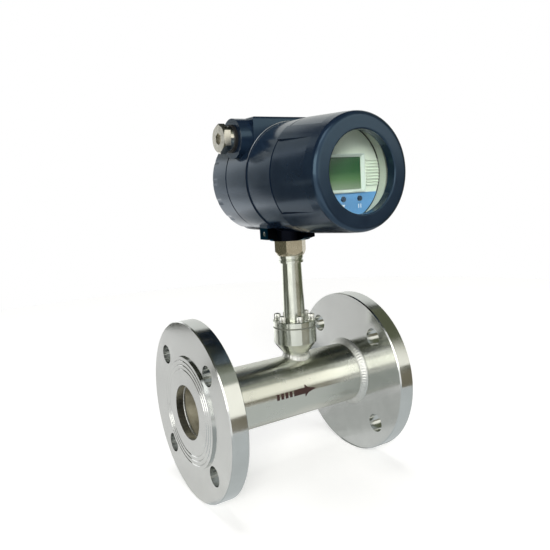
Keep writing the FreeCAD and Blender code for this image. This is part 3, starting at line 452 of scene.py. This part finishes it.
# %% Navy enamel
# Gloss enamel gives a deep navy under cool mirror images. Its IOR, a little above a paint's usual
# 1.5, and its blue tint are matched to the photograph.
finish["housing_paint"], tree, shader, place = new_material("navy_enamel_on_die_casting", {
    "IOR": 1.65, "Specular Tint": linear("#b8def7")})
peel = add(tree, "ShaderNodeTexNoise", {"Vector": place, "Scale": 1 / (1.6 * MM), "Detail": 2})
wave = add(tree, "ShaderNodeTexNoise", {"Vector": place, "Scale": 1 / (14 * MM), "Detail": 2})
tone = add(tree, "ShaderNodeValToRGB", {"Fac": wave}, [(0.3, "#18263a"), (0.7, "#1d2c40")])
rough = add(tree, "ShaderNodeMapRange", {"Value": wave, "To Min": 0.14, "To Max": 0.22})
bump = add(tree, "ShaderNodeBump", {"Height": peel, "Strength": 0.08, "Distance": 0.01 * MM})
swell = add(tree, "ShaderNodeBump", {
    "Height": wave, "Strength": 0.1, "Distance": 0.1 * MM, "Normal": bump})

# Painted shade: the clamp foot under the barrel, as far as it reaches along Y, is made near
# black, and as a dark metal it mirrors hardly anything, for the deep shade that the head casts on
# it.
FOOT_TOP, FOOT_MIDDLE, FOOT_REACH = 158 * MM, -8.2 * MM, 28 * MM
spot = add(tree, "ShaderNodeSeparateXYZ", {"Vector": place}).outputs
low = add(tree, "ShaderNodeMath", {0: spot["Z"], 1: FOOT_TOP}, operation="LESS_THAN")
between = add(tree, "ShaderNodeMath", {0: spot["Y"], 1: FOOT_MIDDLE, 2: FOOT_REACH},
              operation="COMPARE")
foot = add(tree, "ShaderNodeMath", {0: low, 1: between}, operation="MULTIPLY")
tone = add(tree, "ShaderNodeMix", {"Factor": foot, 6: tone, 7: linear("#0c0e14")},
           data_type="RGBA")
add(tree, shader, {
    "Base Color": tone.outputs[2], "Roughness": rough, "Normal": swell, "Metallic": foot})
print("enamel")

# %% [markdown]
# ## Rubber, plastics and boards
# Behind the window everything is moulded or printed. These finishes share one recipe: a colour that
# wanders slightly, a roughness that wanders with it, and a fine grain from the mould or the weave.
# The ivory moulding and the blue film are the two large pale areas that the eye meets there.


# %% Moulded and printed finishes
def moulded(name, dark, light, roughness, grain_mm, depth=0.2, metallic=0.0, shine=0.5):
    """A moulded, printed or cast finish between two close colours, with a fine grain."""
    material, tree, shader, place = new_material(name, {
        "Metallic": metallic, "Specular IOR Level": shine})
    grain = add(tree, "ShaderNodeTexNoise", {
        "Vector": place, "Scale": 1 / (grain_mm * MM), "Detail": 4})
    tone = add(tree, "ShaderNodeValToRGB", {"Fac": grain}, [(0.3, dark), (0.7, light)])
    rough = add(tree, "ShaderNodeMapRange", {
        "Value": grain, "To Min": roughness * 0.85, "To Max": roughness * 1.15})
    bump = add(tree, "ShaderNodeBump", {"Height": grain, "Strength": depth, "Distance": 0.05 * MM})
    add(tree, shader, {"Base Color": tone, "Roughness": rough, "Normal": bump})
    return material


# Two colours, a roughness, and the size and depth of the grain.
finish.update({
    # Soft black without a glint.
    "seal_rubber": moulded("nitrile_rubber_seal", "#0e0f10", "#191a1b", 0.6, 0.8),
    # Dusty blue-black, hardly shiny.
    "key_rubber": moulded("silicone_key_rubber", "#2c3a4e", "#394a60", 0.55, 0.6),
    # Ivory, matt as a blasted mould leaves it.
    "panel_plastic": moulded("ivory_moulded_abs", "#dde6db", "#e6ede3", 0.6, 0.9, shine=0.2),
    # Black with a faint satin.
    "module_plastic": moulded("black_moulded_polycarbonate", "#15171a", "#202327", 0.5, 0.7),
    # Even sky blue with the satin of a film.
    "label_film": moulded("blue_printed_polyester_film", "#6097cf", "#6ca2d8", 0.35, 0.5, 0.1),
    # Pale grey lacquer, smooth and a little glossy.
    "lcd_frame": moulded("grey_painted_lcd_frame", "#c6d2ce", "#d2dcd8", 0.35, 0.6),
    # Green lacquer over a woven board.
    "circuit_board": moulded("green_solder_mask_on_glass_fibre", "#12402a", "#1c5a3b", 0.4, 1.2),
    # Yellow metal with soft glints.
    "pillar_brass": moulded("turned_brass_pillar", "#b08d4e", "#c7a767", 0.25, 1.5, metallic=1.0),
    # Mid green and waxy.
    "terminal_plastic": moulded("green_polyamide_terminal", "#2c6a45", "#377a52", 0.5, 0.8),
    # Off-white, soft and matt.
    "lead_insulation": moulded("white_silicone_lead", "#cfcfca", "#dededa", 0.5, 0.7),
    # Black and smooth, as it was poured.
    "potting": moulded("black_epoxy_potting", "#17181a", "#232427", 0.3, 2.0),
})
# Cool grey and matt, so that the ivory stands out before it.
bezel_grey = moulded("grey_moulded_abs_bezel", "#b4bbb0", "#c0c6bb", 0.5, 0.9)
# Pressed fibres: grey, rough and dry.
gasket_fibre = moulded("pressed_fibre_gasket", "#7c7e76", "#8f9188", 0.8, 0.7, 0.6)
print(len(finish), "finishes so far")

# %% [markdown]
# ## Display glass and window glass
# The liquid crystal glass is unlit and green, and greyer towards its foot: a painted reflection of
# the pale panel that it mirrors there. The window is thick toughened glass. It is clear, so all it
# adds is a soft mirror of the room. A lamp's light passes through it unbent, as light does on
# average, so that the panel behind is lit.

# %% Liquid crystal and window
# Unlit liquid crystal gives a deep green with a soft sheen. Towards the foot the colour turns
# grey: a painted reflection of the pale panel.
finish["lcd_glass"], tree, shader, place = new_material("liquid_crystal_glass", {
    "Roughness": 0.3, "Specular IOR Level": 0.3})
height = add(tree, "ShaderNodeSeparateXYZ", {"Vector": place}).outputs["Z"]
low, high = (corner.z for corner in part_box("lcd_glass"))
rise = add(tree, "ShaderNodeMapRange", {"Value": height, "From Min": low, "From Max": high})
tone = add(tree, "ShaderNodeValToRGB", {"Fac": rise},
           [(0.0, "#82927f"), (0.3, "#52754c"), (0.55, "#2b5432"), (1.0, "#21492b")])
add(tree, shader, {"Base Color": tone})

# Clear glass gives a thin mirror image. Its IOR is below the usual 1.5, as on a coated window.
finish["window_glass"], tree, shader, _ = new_material("toughened_window_glass", {
    "Base Color": linear("#f4faf6"), "Roughness": 0.02, "IOR": 1.2, "Transmission Weight": 1.0})
clear = add(tree, "ShaderNodeBsdfTransparent")
lamp_ray = add(tree, "ShaderNodeLightPath").outputs["Is Shadow Ray"]
mixed = add(tree, "ShaderNodeMixShader", {0: lamp_ray, 1: shader, 2: clear})
add(tree, tree.nodes["Material Output"], {"Surface": mixed})
print("display glass from", round(low, 4), "to", round(high, 4))

# %% Every solid gets its finish
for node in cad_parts.values():
    for holder in node.material_slots:
        holder.material = finish[holder.material.name.split(".")[0]]
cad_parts["cap_gasket"].material_slots[0].material = gasket_fibre
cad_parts["display_bezel"].material_slots[0].material = bezel_grey
print("finishes on", len(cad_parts), "solids")

# %% [markdown]
# ## How a new piece joins the meter
# Each new piece gets its finish, smooth shading that breaks at its edges, and the body that it
# rides on. A finer version of a solid also takes that solid's place.


# %% Showing a piece
def face_outward(mesh):
    """Turns every face of a closed mesh outward."""
    made = bmesh.new()
    made.from_mesh(mesh)
    bmesh.ops.recalc_face_normals(made, faces=made.faces)
    made.to_mesh(mesh)
    made.free()


def show(mesh, material, body, instead=(), crease=35):
    """Puts a finished mesh on the meter: smooth but for its edges, and riding on its body."""
    face_outward(mesh)
    mesh.polygons.foreach_set("use_smooth", [True] * len(mesh.polygons))
    mesh.set_sharp_from_angle(angle=math.radians(crease))
    mesh.materials.clear()
    mesh.materials.append(material)
    piece = new_object(mesh.name, mesh)
    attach(piece, body)
    if instead:
        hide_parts(*instead)
    print(piece.name, len(mesh.polygons), "faces on", body)


print("showing ready")

# %% [markdown]
# ## Geometry Nodes for what repeats or follows a path
# Weld ripples, screws on a circle, turns of a thread and ribs on a panel are one shape many times.
# A node tree makes the copies from a few named sizes, joins them into real mesh and gives them
# their material. The result is then kept as a plain mesh, so nothing in the finished scene needs
# the tree.


# %% Growing a mesh from a node tree
def new_tree(name, sizes):
    """An empty tree with one named input per size. Returns it with its input sockets by name."""
    tree = bpy.data.node_groups.new(name, "GeometryNodeTree")
    for label, kind in sizes.items():
        tree.interface.new_socket(label, in_out="INPUT", socket_type=f"NodeSocket{kind}")
    tree.interface.new_socket("Material", in_out="INPUT", socket_type="NodeSocketMaterial")
    tree.interface.new_socket("Geometry", in_out="OUTPUT", socket_type="NodeSocketGeometry")
    return tree, add(tree, "NodeGroupInput").outputs


def end_tree(tree, size, result):
    """Ends a tree in real geometry that carries the material."""
    real = add(tree, "GeometryNodeRealizeInstances", {"Geometry": result})
    dressed = add(tree, "GeometryNodeSetMaterial", {"Geometry": real, "Material": size["Material"]})
    add(tree, "NodeGroupOutput", {"Geometry": dressed})


def plain_mesh(piece, name):
    """The mesh that an object's modifiers make, as a plain mesh. The object itself goes."""
    graph = bpy.context.evaluated_depsgraph_get()
    mesh = bpy.data.meshes.new_from_object(piece.evaluated_get(graph))
    bpy.data.objects.remove(piece)
    mesh.name = name
    return mesh


def grow(name, tree, sizes):
    """Runs a tree with these sizes on an empty object and returns the plain mesh that it makes."""
    host = new_object(name, bpy.data.meshes.new(name))
    modifier = host.modifiers.new("shape", "NODES")
    modifier.node_group = tree
    for item in tree.interface.items_tree:
        if item.in_out == "INPUT":
            modifier[item.identifier] = sizes[item.name]
    return plain_mesh(host, name)


print("trees ready")

# %% [markdown]
# ## Welds
# Each joint on the pipe is a fillet of weld metal laid in small overlapping pools. Frozen pools
# look like a row of shallow chevrons. The ripples could be a bump in the material, but they break
# the outline of the bead, so they are shape: a fan-shaped section is swept round a circle, and each
# point then moves in or out along its spoke. The bead at the sensor bowl follows the round back of
# the pipe as well, so its points are lifted onto a cylinder of the pipe's radius. A radius of 0
# keeps it flat.

# %% The weld bead tree
# Points across a bead, steps round a pool, and how far the toes lag, in radians.
ACROSS, POOL_STEPS, TOE_LAG = 10, 12, 2.2
tree, size = new_tree("weld_bead", {
    "Path Radius": "Float", "Pipe Radius": "Float", "Width": "Float", "Height": "Float",
    "Start": "Float", "Sweep": "Float", "Pools": "Int", "Ripple": "Float", "Hollow": "Float",
    "Place": "Vector", "Turn": "Vector"})
index = add(tree, "GeometryNodeInputIndex")
spot = add(tree, "GeometryNodeInputPosition")
steps = add(tree, "ShaderNodeMath", {0: size["Pools"], 1: POOL_STEPS}, operation="MULTIPLY")
path = add(tree, "GeometryNodeCurvePrimitiveCircle", {
    "Resolution": steps, "Radius": size["Path Radius"]})
phase = add(tree, "ShaderNodeMath", {0: index, 1: 2 * math.pi / POOL_STEPS}, operation="MULTIPLY")
path = add(tree, "GeometryNodeCaptureAttribute", {"Geometry": path})
path.capture_items.new("FLOAT", "Phase")
path.capture_items.new("VECTOR", "Root")
add(tree, path, {"Phase": phase, "Root": spot})

fan = add(tree, "GeometryNodeCurveArc", {
    "Resolution": ACROSS, "Radius": 1.0, "Start Angle": size["Start"],
    "Sweep Angle": size["Sweep"], "Connect Center": True})
share = add(tree, "ShaderNodeMath", {0: index, 1: ACROSS - 1}, operation="DIVIDE")
fan = add(tree, "GeometryNodeCaptureAttribute", {"Geometry": fan})
fan.capture_items.new("FLOAT", "Share")
add(tree, fan, {"Share": share})
legs = add(tree, "ShaderNodeCombineXYZ", {"X": size["Width"], "Y": size["Height"], "Z": 1})
section = add(tree, "GeometryNodeTransform", {"Geometry": fan, "Scale": legs})
swept = add(tree, "GeometryNodeCurveToMesh", {"Curve": path, "Profile Curve": section})

# A pool's front lags at both toes of the bead, which is what bends it into a chevron.
toes = add(tree, "ShaderNodeMath", {0: fan.outputs["Share"], 1: 2, 2: -1},
           operation="MULTIPLY_ADD")
lag = add(tree, "ShaderNodeMath", {0: toes, 1: toes}, operation="MULTIPLY")
wave = add(tree, "ShaderNodeMath", {0: lag, 1: TOE_LAG, 2: path.outputs["Phase"]},
           operation="MULTIPLY_ADD")
pools = add(tree, "ShaderNodeMath", {0: wave}, operation="SINE")
lift = add(tree, "ShaderNodeMath", {0: pools, 1: size["Ripple"]}, operation="MULTIPLY")
lift = add(tree, "ShaderNodeMath", {0: lift, 1: size["Hollow"]}, operation="SUBTRACT")
half_turn = add(tree, "ShaderNodeMath", {0: fan.outputs["Share"], 1: math.pi},
                operation="MULTIPLY")
crown = add(tree, "ShaderNodeMath", {0: half_turn}, operation="SINE")
stretch = add(tree, "ShaderNodeMath", {0: lift, 1: crown, 2: 1}, operation="MULTIPLY_ADD")
root = path.outputs["Root"]
spoke = add(tree, "ShaderNodeVectorMath", {0: spot, 1: root}, operation="SUBTRACT")
moved = add(tree, "ShaderNodeVectorMath", {0: spoke, 1: stretch, 2: root},
            operation="MULTIPLY_ADD")
rippled = add(tree, "GeometryNodeSetPosition", {"Geometry": swept, "Position": moved})

# On the back of the pipe, the height at a distance y from the middle is sqrt(radius^2 - y^2).
side = add(tree, "ShaderNodeSeparateXYZ", {"Vector": spot}).outputs["Y"]
fall = add(tree, "ShaderNodeMath", {0: side, 1: side}, operation="MULTIPLY")
top = add(tree, "ShaderNodeMath", {0: size["Pipe Radius"], 1: size["Pipe Radius"]},
          operation="MULTIPLY")
left = add(tree, "ShaderNodeMath", {0: top, 1: fall}, operation="SUBTRACT")
left = add(tree, "ShaderNodeMath", {0: left, 1: 0}, operation="MAXIMUM")
rise = add(tree, "ShaderNodeMath", {0: left}, operation="SQRT")
raised = add(tree, "ShaderNodeCombineXYZ", {"Z": rise})
seated = add(tree, "GeometryNodeSetPosition", {"Geometry": rippled, "Offset": raised})
bead = add(tree, "GeometryNodeTransform", {
    "Geometry": seated, "Translation": size["Place"], "Rotation": size["Turn"]})
end_tree(tree, size, bead)
weld_tree = tree
print("weld bead tree", len(tree.nodes), "nodes")

# %% Flange welds, bowl weld and root runs
# The tube's radii and ends, the flanges' backs and the bowl's foot, in millimetres.
TUBE, BORE, TUBE_START, TUBE_END = 30, 25, 8, 192
INLET_BACK, OUTLET_BACK, BOWL_FOOT = 18, 182, 12
SUNK, ROOT_SUNK = 0.2, 0.3  # so deep in the metal does each bead begin
FILLET = {
    "Width": 5.5 * MM, "Height": 5.5 * MM, "Start": math.radians(-90), "Sweep": math.radians(90),
    "Ripple": 0.022, "Hollow": 0.21, "Pipe Radius": 0.0, "Material": finish["weld_metal"]}
ROOT_RUN = {
    **FILLET, "Width": 0.65 * MM, "Height": 1.2 * MM, "Start": math.radians(90),
    "Sweep": math.radians(180), "Ripple": 0.12, "Hollow": 0.0}
for side, face, end, way in (("inlet", INLET_BACK, TUBE_START, 1),
                             ("outlet", OUTLET_BACK, TUBE_END, -1)):
    turn = (0, way * math.pi / 2, 0)
    fillet = grow(f"{side}_weld_bead", weld_tree, {
        **FILLET, "Path Radius": (TUBE - SUNK) * MM, "Pools": 74,
        "Place": ((face - way * SUNK) * MM, 0, 0), "Turn": turn})
    show(fillet, finish["weld_metal"], "spool", [f"{side}_weld"])
    run = grow(f"{side}_root_run", weld_tree, {
        **ROOT_RUN, "Path Radius": (BORE + ROOT_SUNK) * MM, "Pools": 60,
        "Place": (end * MM, 0, 0), "Turn": turn})
    show(run, finish["weld_metal"], "spool")

saddle = grow("bowl_weld_bead", weld_tree, {
    **FILLET, "Path Radius": (BOWL_FOOT - SUNK) * MM, "Pipe Radius": TUBE * MM,
    "Width": 2.2 * MM, "Height": 4.0 * MM, "Pools": 26, "Ripple": 0.05, "Hollow": 0.05,
    "Place": (STEM[0] * MM, 0, -SUNK * MM), "Turn": (0, 0, 0)})
show(saddle, finish["weld_metal"], "spool", ["bowl_weld"])

# %% [markdown]
# ## How a small turned or forged piece is made
# Screws, rings and the tube itself are outlines stacked along one axis: a circle here, a hexagon
# there, each at its own height. A function that bridges such outlines covers them all, and because
# every outline has the same number of points, the faces between them are plain quads.


# %% Outlines
def circle(radius):
    """A round outline: the same distance from the axis at every angle."""
    return lambda angle: radius


def hexagon(flats):
    """Distance to the edge of a hexagon of that width across its flats, at an angle."""
    return lambda angle: flats / 2 / math.cos((angle + math.pi / 6) % (math.pi / 3) - math.pi / 6)


def knurled(radius, depth, teeth):
    """A circle with shallow teeth, as on the side of a socket screw's head."""
    return lambda angle: radius - depth * (0.5 + 0.5 * math.cos(angle * teeth))


print("outlines ready")


# %% Stacked outlines
def stack(name, outlines, centre=(0, 0, 0), axis="Z", points=96, hollow=False):
    """A mesh from (height, outline) pairs in mm along an axis. A hollow one closes on itself."""
    along = Vector({"X": (1, 0, 0), "Y": (0, 1, 0), "Z": (0, 0, 1)}[axis])
    across = Vector((along.y, along.z, along.x))
    upward = along.cross(across)
    made = bmesh.new()
    rings = []
    for height, outline in outlines:
        ring = []
        for angle in np.arange(points) * 2 * math.pi / points:
            spoke = across * math.cos(angle) + upward * math.sin(angle)
            corner = Vector(centre) + spoke * outline(angle) + along * height
            ring.append(made.verts.new(corner * MM))
        rings.append(ring)
    for low, high in zip(rings, rings[1:] + (rings[:1] if hollow else [])):
        for i in range(points):
            made.faces.new((low[i - 1], low[i], high[i], high[i - 1]))
    if not hollow:
        made.faces.new(rings[0])
        made.faces.new(rings[-1])
    mesh = bpy.data.meshes.new(name)
    made.to_mesh(mesh)
    made.free()
    return mesh


print("stacking ready")

# %% [markdown]
# ## The flow tube
# The tube is drawn pipe, polished outside. It is made again here with more sides than the solid
# has, because its bore is seen from close by as a large circle. The hole under the sensor bowl is
# cut with a boolean, as it would be drilled.

# %% Flow tube
SENSOR_HOLE, DRILL_TOP = 8.4, 40
wall = [(TUBE_START, circle(BORE)), (TUBE_START, circle(TUBE)),
        (TUBE_END, circle(TUBE)), (TUBE_END, circle(BORE))]
pipe = new_object("pipe", stack("pipe", wall, axis="X", points=192, hollow=True))
bit = [(0, circle(SENSOR_HOLE)), (DRILL_TOP, circle(SENSOR_HOLE))]
drill = new_object("drill", stack("drill", bit, STEM))
for piece in (pipe, drill):
    face_outward(piece.data)
cut = pipe.modifiers.new("sensor_hole", "BOOLEAN")
cut.operation, cut.object, cut.solver = "DIFFERENCE", drill, "EXACT"
drilled = plain_mesh(pipe, "flow_tube_shell")
bpy.data.objects.remove(drill)
show(drilled, finish["tube_steel"], "spool", ["flow_tube"])

# %% [markdown]
# ## Cap screws
# Six socket screws hold the probe cap. A forged socket head has a straight knurl round its side, a
# small bevel and a hexagonal socket, and no two sockets end up turned the same way.

# %% One cap screw
HEAD_OD, HEAD_HEIGHT, KEY_FLATS, KEY_DEPTH = 6.8, 5.5, 4.0, 3
SHANK, KNURL_TOP, BEVEL = circle(2.4), 4.7, 0.55
MOUTH, MOUTH_DEPTH = circle(KEY_FLATS / 2 + 0.5), 0.3
knurl, socket = knurled(HEAD_OD / 2, depth=0.22, teeth=32), hexagon(KEY_FLATS)
screw = new_object("one_cap_screw", stack("one_cap_screw", [
    (-2, SHANK), (0, SHANK), (0, knurl), (KNURL_TOP, knurl),
    (HEAD_HEIGHT, circle(HEAD_OD / 2 - BEVEL)), (HEAD_HEIGHT, MOUTH),
    (HEAD_HEIGHT - MOUTH_DEPTH, socket), (HEAD_HEIGHT - KEY_DEPTH, socket)], points=192))
print("cap screw", len(screw.data.polygons), "faces")

# %% Cap screws on their circle
FIRST_SCREW, SIXTH_TURN = math.radians(14), 1.05
tree, size = new_tree("screws_on_a_circle", {
    "Screw": "Object", "Count": "Int", "Radius": "Float", "Centre": "Vector"})
ring = add(tree, "GeometryNodeMeshCircle", {"Vertices": size["Count"], "Radius": size["Radius"]})
placed = add(tree, "GeometryNodeTransform", {
    "Geometry": ring, "Translation": size["Centre"], "Rotation": (0, 0, FIRST_SCREW)})
shape = add(tree, "GeometryNodeObjectInfo", {"Object": size["Screw"]}).outputs["Geometry"]
turn = add(tree, "FunctionNodeRandomValue", {
    "Min": (0, 0, 0), "Max": (0, 0, SIXTH_TURN), "Seed": 4}, data_type="FLOAT_VECTOR")
copies = add(tree, "GeometryNodeInstanceOnPoints", {
    "Points": placed, "Instance": shape, "Rotation": turn})
end_tree(tree, size, copies)
low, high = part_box("cap_screws")
screws = grow("cap_screw_set", tree, {
    "Screw": screw, "Count": 6, "Radius": (high.x - low.x) / 2 - HEAD_OD / 2 * MM,
    "Centre": (STEM[0] * MM, 0, high.z - HEAD_HEIGHT * MM), "Material": finish["screw_steel"]})
bpy.data.objects.remove(screw)
show(screws, finish["screw_steel"], "spool", ["cap_screws"])

# %% [markdown]
# ## Set screw in the lug
# One grub screw stops the head from turning on the adapter. Only its socket end shows in the lug.

# %% Set screw
low, high = (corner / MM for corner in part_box("set_screw"))
length = high.x - low.x
end = (low.x, (low.y + high.y) / 2, (low.z + high.z) / 2)
GRUB, GRUB_KEY = circle(2.5), hexagon(2.5)
grub = stack("set_screw_socket", [
    (2.6, GRUB_KEY), (0.25, GRUB_KEY), (0, circle(1.7)), (0, circle(2.0)), (0.5, GRUB),
    (length - 1, GRUB), (length, circle(1.5))], end, "X")
show(grub, finish["screw_steel"], "head", ["set_screw"])

# %% [markdown]
# ## Threads
# The second cable entry is left open for a gland, so its thread shows, and the covers' threads show
# once a cover is screwed off. A thread is a ridge along a spiral: a spiral curve given a small
# square section does it, with the pitch as one input. A cover's pitch is the 2 mm that it travels
# per turn.

# %% Threads of the entry and the two necks
HEAD_X, HEAD_Z = STEM[0], 203.7
tree, size = new_tree("thread", {
    "Turns": "Float", "Pitch": "Float", "Radius": "Float", "Ridge": "Float",
    "Place": "Vector", "Turn": "Vector"})
rise = add(tree, "ShaderNodeMath", {0: size["Turns"], 1: size["Pitch"]}, operation="MULTIPLY")
spiral = add(tree, "GeometryNodeCurveSpiral", {
    "Resolution": 96, "Rotations": size["Turns"], "Start Radius": size["Radius"],
    "End Radius": size["Radius"], "Height": rise})
section = add(tree, "GeometryNodeCurvePrimitiveCircle", {
    "Resolution": 4, "Radius": size["Ridge"]})
ridge = add(tree, "GeometryNodeCurveToMesh", {
    "Curve": spiral, "Profile Curve": section, "Fill Caps": True})
laid = add(tree, "GeometryNodeTransform", {
    "Geometry": ridge, "Translation": size["Place"], "Rotation": size["Turn"]})
end_tree(tree, size, laid)
for name, turns, pitch, radius, ridge, start, turn in (
        ("entry_thread", 9, 1.5, 9.25, 0.75, (171.4, 8, 241.2), (0, -90, 0)),
        ("front_neck_thread", 7, 2, 46.85, 0.4, (HEAD_X, -59.5, HEAD_Z), (90, 0, 0)),
        ("rear_neck_thread", 3, 2, 46.85, 0.4, (HEAD_X, 34, HEAD_Z), (-90, 0, 0))):
    mesh = grow(name, tree, {
        "Turns": float(turns), "Pitch": pitch * MM, "Radius": radius * MM, "Ridge": ridge * MM,
        "Place": Vector(start) * MM, "Turn": [math.radians(t) for t in turn],
        "Material": finish["housing_paint"]})
    show(mesh, finish["housing_paint"], "head", crease=60)

# %% [markdown]
# ## Edge of the barrel's step
# The barrel is turned a little smaller in front, and paint gathers on the edge of that step as a
# thin round lip. It could be a bevel on the casting, but the casting is a finished solid, so it is
# a ring with a small round section. Its colour is a painted highlight: bright and metal-like on
# top, fading to the paint's dark below.

# %% Paint lip
STEP_RADIUS, STEP_Y, LIP, LIP_SUNK = 51.5, -11.9, 0.3, 0.1
WORN_FROM, WORN_TO = 218 * MM, 238 * MM
lip = stack("barrel_step_lip", [
    (LIP * math.cos(a), circle(STEP_RADIUS - LIP_SUNK + LIP * math.sin(a)))
    for a in np.arange(8) * math.pi / 4], (HEAD_X, STEP_Y, HEAD_Z), "Y", 192, hollow=True)
# Painted highlight: a bare metal's glint is painted on top, fading to the paint's dark below.
worn_edge, tree, shader, place = new_material("worn_enamel_edge", {
    "Metallic": 0.8, "Roughness": 0.3})
height = add(tree, "ShaderNodeSeparateXYZ", {"Vector": place}).outputs["Z"]
rise = add(tree, "ShaderNodeMapRange", {
    "Value": height, "From Min": WORN_FROM, "From Max": WORN_TO})
tone = add(tree, "ShaderNodeValToRGB", {"Fac": rise}, [(0.0, "#0e1522"), (1.0, "#d3d7da")])
add(tree, shader, {"Base Color": tone})
show(lip, worn_edge, "head", crease=80)

# %% [markdown]
# ## Ribs of the display panel, and painted shade in its corner
# Beside the display the ivory moulding has a row of low ribs that end at its round edge, so each is
# as long as the circle leaves room for. The tree works that out from the rim's radius. A thin black
# ring in the corner between panel and bezel is painted shade, for the dark of the narrow gap there.

# %% Panel ribs
PANEL = Vector((HEAD_X, -83, HEAD_Z))
tree, size = new_tree("ribs_in_a_circle", {
    "Count": "Int", "Lowest": "Vector", "Pitch": "Vector", "Start": "Float", "Rim": "Float",
    "Width": "Float", "Height": "Float", "Place": "Vector"})
line = add(tree, "GeometryNodeMeshLine", {
    "Count": size["Count"], "Start Location": size["Lowest"], "Offset": size["Pitch"]})
spot = add(tree, "GeometryNodeInputPosition")
level = add(tree, "ShaderNodeSeparateXYZ", {"Vector": spot}).outputs["Z"]
drop = add(tree, "ShaderNodeMath", {0: level, 1: level}, operation="MULTIPLY")
rim = add(tree, "ShaderNodeMath", {0: size["Rim"], 1: size["Rim"]}, operation="MULTIPLY")
room = add(tree, "ShaderNodeMath", {0: rim, 1: drop}, operation="SUBTRACT")
reach = add(tree, "ShaderNodeMath", {0: room}, operation="SQRT")
length = add(tree, "ShaderNodeMath", {0: reach, 1: size["Start"]}, operation="SUBTRACT")
bar = add(tree, "GeometryNodeMeshCylinder", {"Vertices": 16, "Radius": 0.5, "Depth": 1.0})
lying = add(tree, "GeometryNodeTransform", {
    "Geometry": bar, "Rotation": (0, math.pi / 2, 0), "Translation": (0.5, 0, 0)})
stretch = add(tree, "ShaderNodeCombineXYZ", {
    "X": length, "Y": size["Height"], "Z": size["Width"]})
copies = add(tree, "GeometryNodeInstanceOnPoints", {
    "Points": line, "Instance": lying, "Scale": stretch})
laid = add(tree, "GeometryNodeTransform", {"Geometry": copies, "Translation": size["Place"]})
end_tree(tree, size, laid)
START, PITCH, RIBS, PANEL_RIM = 25.5, 2.6, 9, 39.6
ribs = grow("panel_ribs", tree, {
    "Count": RIBS, "Lowest": (START * MM, 0, -PITCH * (RIBS - 1) / 2 * MM),
    "Pitch": (0, 0, PITCH * MM), "Start": START * MM, "Rim": PANEL_RIM * MM, "Width": 1.5 * MM,
    "Height": 3.2 * MM, "Place": PANEL * MM, "Material": finish["panel_plastic"]})
show(ribs, finish["panel_plastic"], "head")

# %% Ring of painted shade
inner, outer = circle(40.1), circle(41)
foam = stack("panel_foam_ring", [(0.3, inner), (-0.5, inner), (-0.5, outer), (0.3, outer)],
             PANEL, "Y", 160, hollow=True)
show(foam, finish["seal_rubber"], "head")

# %% [markdown]
# ## Printed marks
# The flow arrow is stencilled on the tube in red-brown ink: four bars, a shaft and a head. Ink is a
# film with hardly any thickness, but a flat picture would need an image. So each mark is a thin
# closed patch, cut fine enough to follow the tube's curve and standing a few hundredths of a mm
# proud.


# %% Printing on a surface
def printed(name, quads, lay, material, body, thick=0.06, rows=8):
    """Thin closed patches from four (u, v) corners each, laid on a surface by lay(u, v, height)."""
    made = bmesh.new()
    for quad in quads:
        a, b, c, d = (Vector(corner) for corner in quad)
        sheets = []
        for height in (thick, -thick):
            rungs = [(a.lerp(d, t), b.lerp(c, t)) for t in np.linspace(0, 1, rows + 1)]
            sheets.append([[made.verts.new(Vector(lay(*end, height)) * MM) for end in rung]
                           for rung in rungs])
        top, bottom = sheets
        for j in range(rows):
            made.faces.new((*top[j], *reversed(top[j + 1])))
            made.faces.new((*bottom[j], *reversed(bottom[j + 1])))
            for i in (0, 1):
                made.faces.new((top[j][i], top[j + 1][i], bottom[j + 1][i], bottom[j][i]))
        for j in (0, rows):
            made.faces.new((*top[j], *reversed(bottom[j])))
    bmesh.ops.remove_doubles(made, verts=made.verts, dist=1e-7)
    bmesh.ops.dissolve_degenerate(made, edges=made.edges, dist=1e-7)
    mesh = bpy.data.meshes.new(name)
    made.to_mesh(mesh)
    made.free()
    show(mesh, material, body)


def oblong(left, right, low, high):
    """The four corners of an upright rectangle."""
    return [(left, low), (right, low), (right, high), (left, high)]


print("printing ready")

# %% Flow arrow
ARROW_START, ARROW_LIFT = 77, math.radians(6)
BAR, BAR_STEP, HEAD_START, ARROW_END = 3.0, 4.75, 31.6, 44
HALF_BAR, HALF_SHAFT, HALF_HEAD = 2.8, 2.9, 5.9


def on_tube(along, up, height):
    """A point of the arrow on the front of the tube, in millimetres."""
    angle, reach = ARROW_LIFT + up / TUBE, TUBE + height
    return ARROW_START + along, -reach * math.cos(angle), reach * math.sin(angle)


# Stencil ink gives a dull red-brown that hides the steel.
ink = moulded("red_brown_stencil_ink", "#321915", "#41241e", 0.5, 1.2, 0.3)
bars = [oblong(u, u + BAR, -HALF_BAR, HALF_BAR) for u in np.arange(4) * BAR_STEP]
shaft = oblong(4 * BAR_STEP, HEAD_START, -HALF_SHAFT, HALF_SHAFT)
head = [(HEAD_START, -HALF_HEAD), (ARROW_END, 0), (ARROW_END, 0), (HEAD_START, HALF_HEAD)]
printed("flow_arrow", bars + [shaft, head], on_tube, ink, "spool")

# %% Marks under the keys
LABEL_THICKNESS, MARK_TOP, STROKE = 0.4, -26, 0.8


def on_label(along, up, height):
    """A point of the keypad label, measured from the middle of the window, in millimetres."""
    return PANEL.x + along, PANEL.y - LABEL_THICKNESS - height, PANEL.z + up


# Screen print gives a flat white that covers the blue.
white_ink = moulded("white_screen_print", "#e4e9ee", "#f4f7fa", 0.5, 0.8)
strokes = [oblong(x, x + STROKE, -29.5, MARK_TOP) for x in (15.9, 18.3)]
left_mark = [(-19.5, -27.8), (-16.5, -29.6), (-16.5, MARK_TOP), (-19.5, -27.8)]
down_mark = [(-1.7, MARK_TOP), (0, -29.4), (0, -29.4), (1.7, MARK_TOP)]
printed("key_marks", strokes + [left_mark, down_mark], on_label, white_ink, "head")
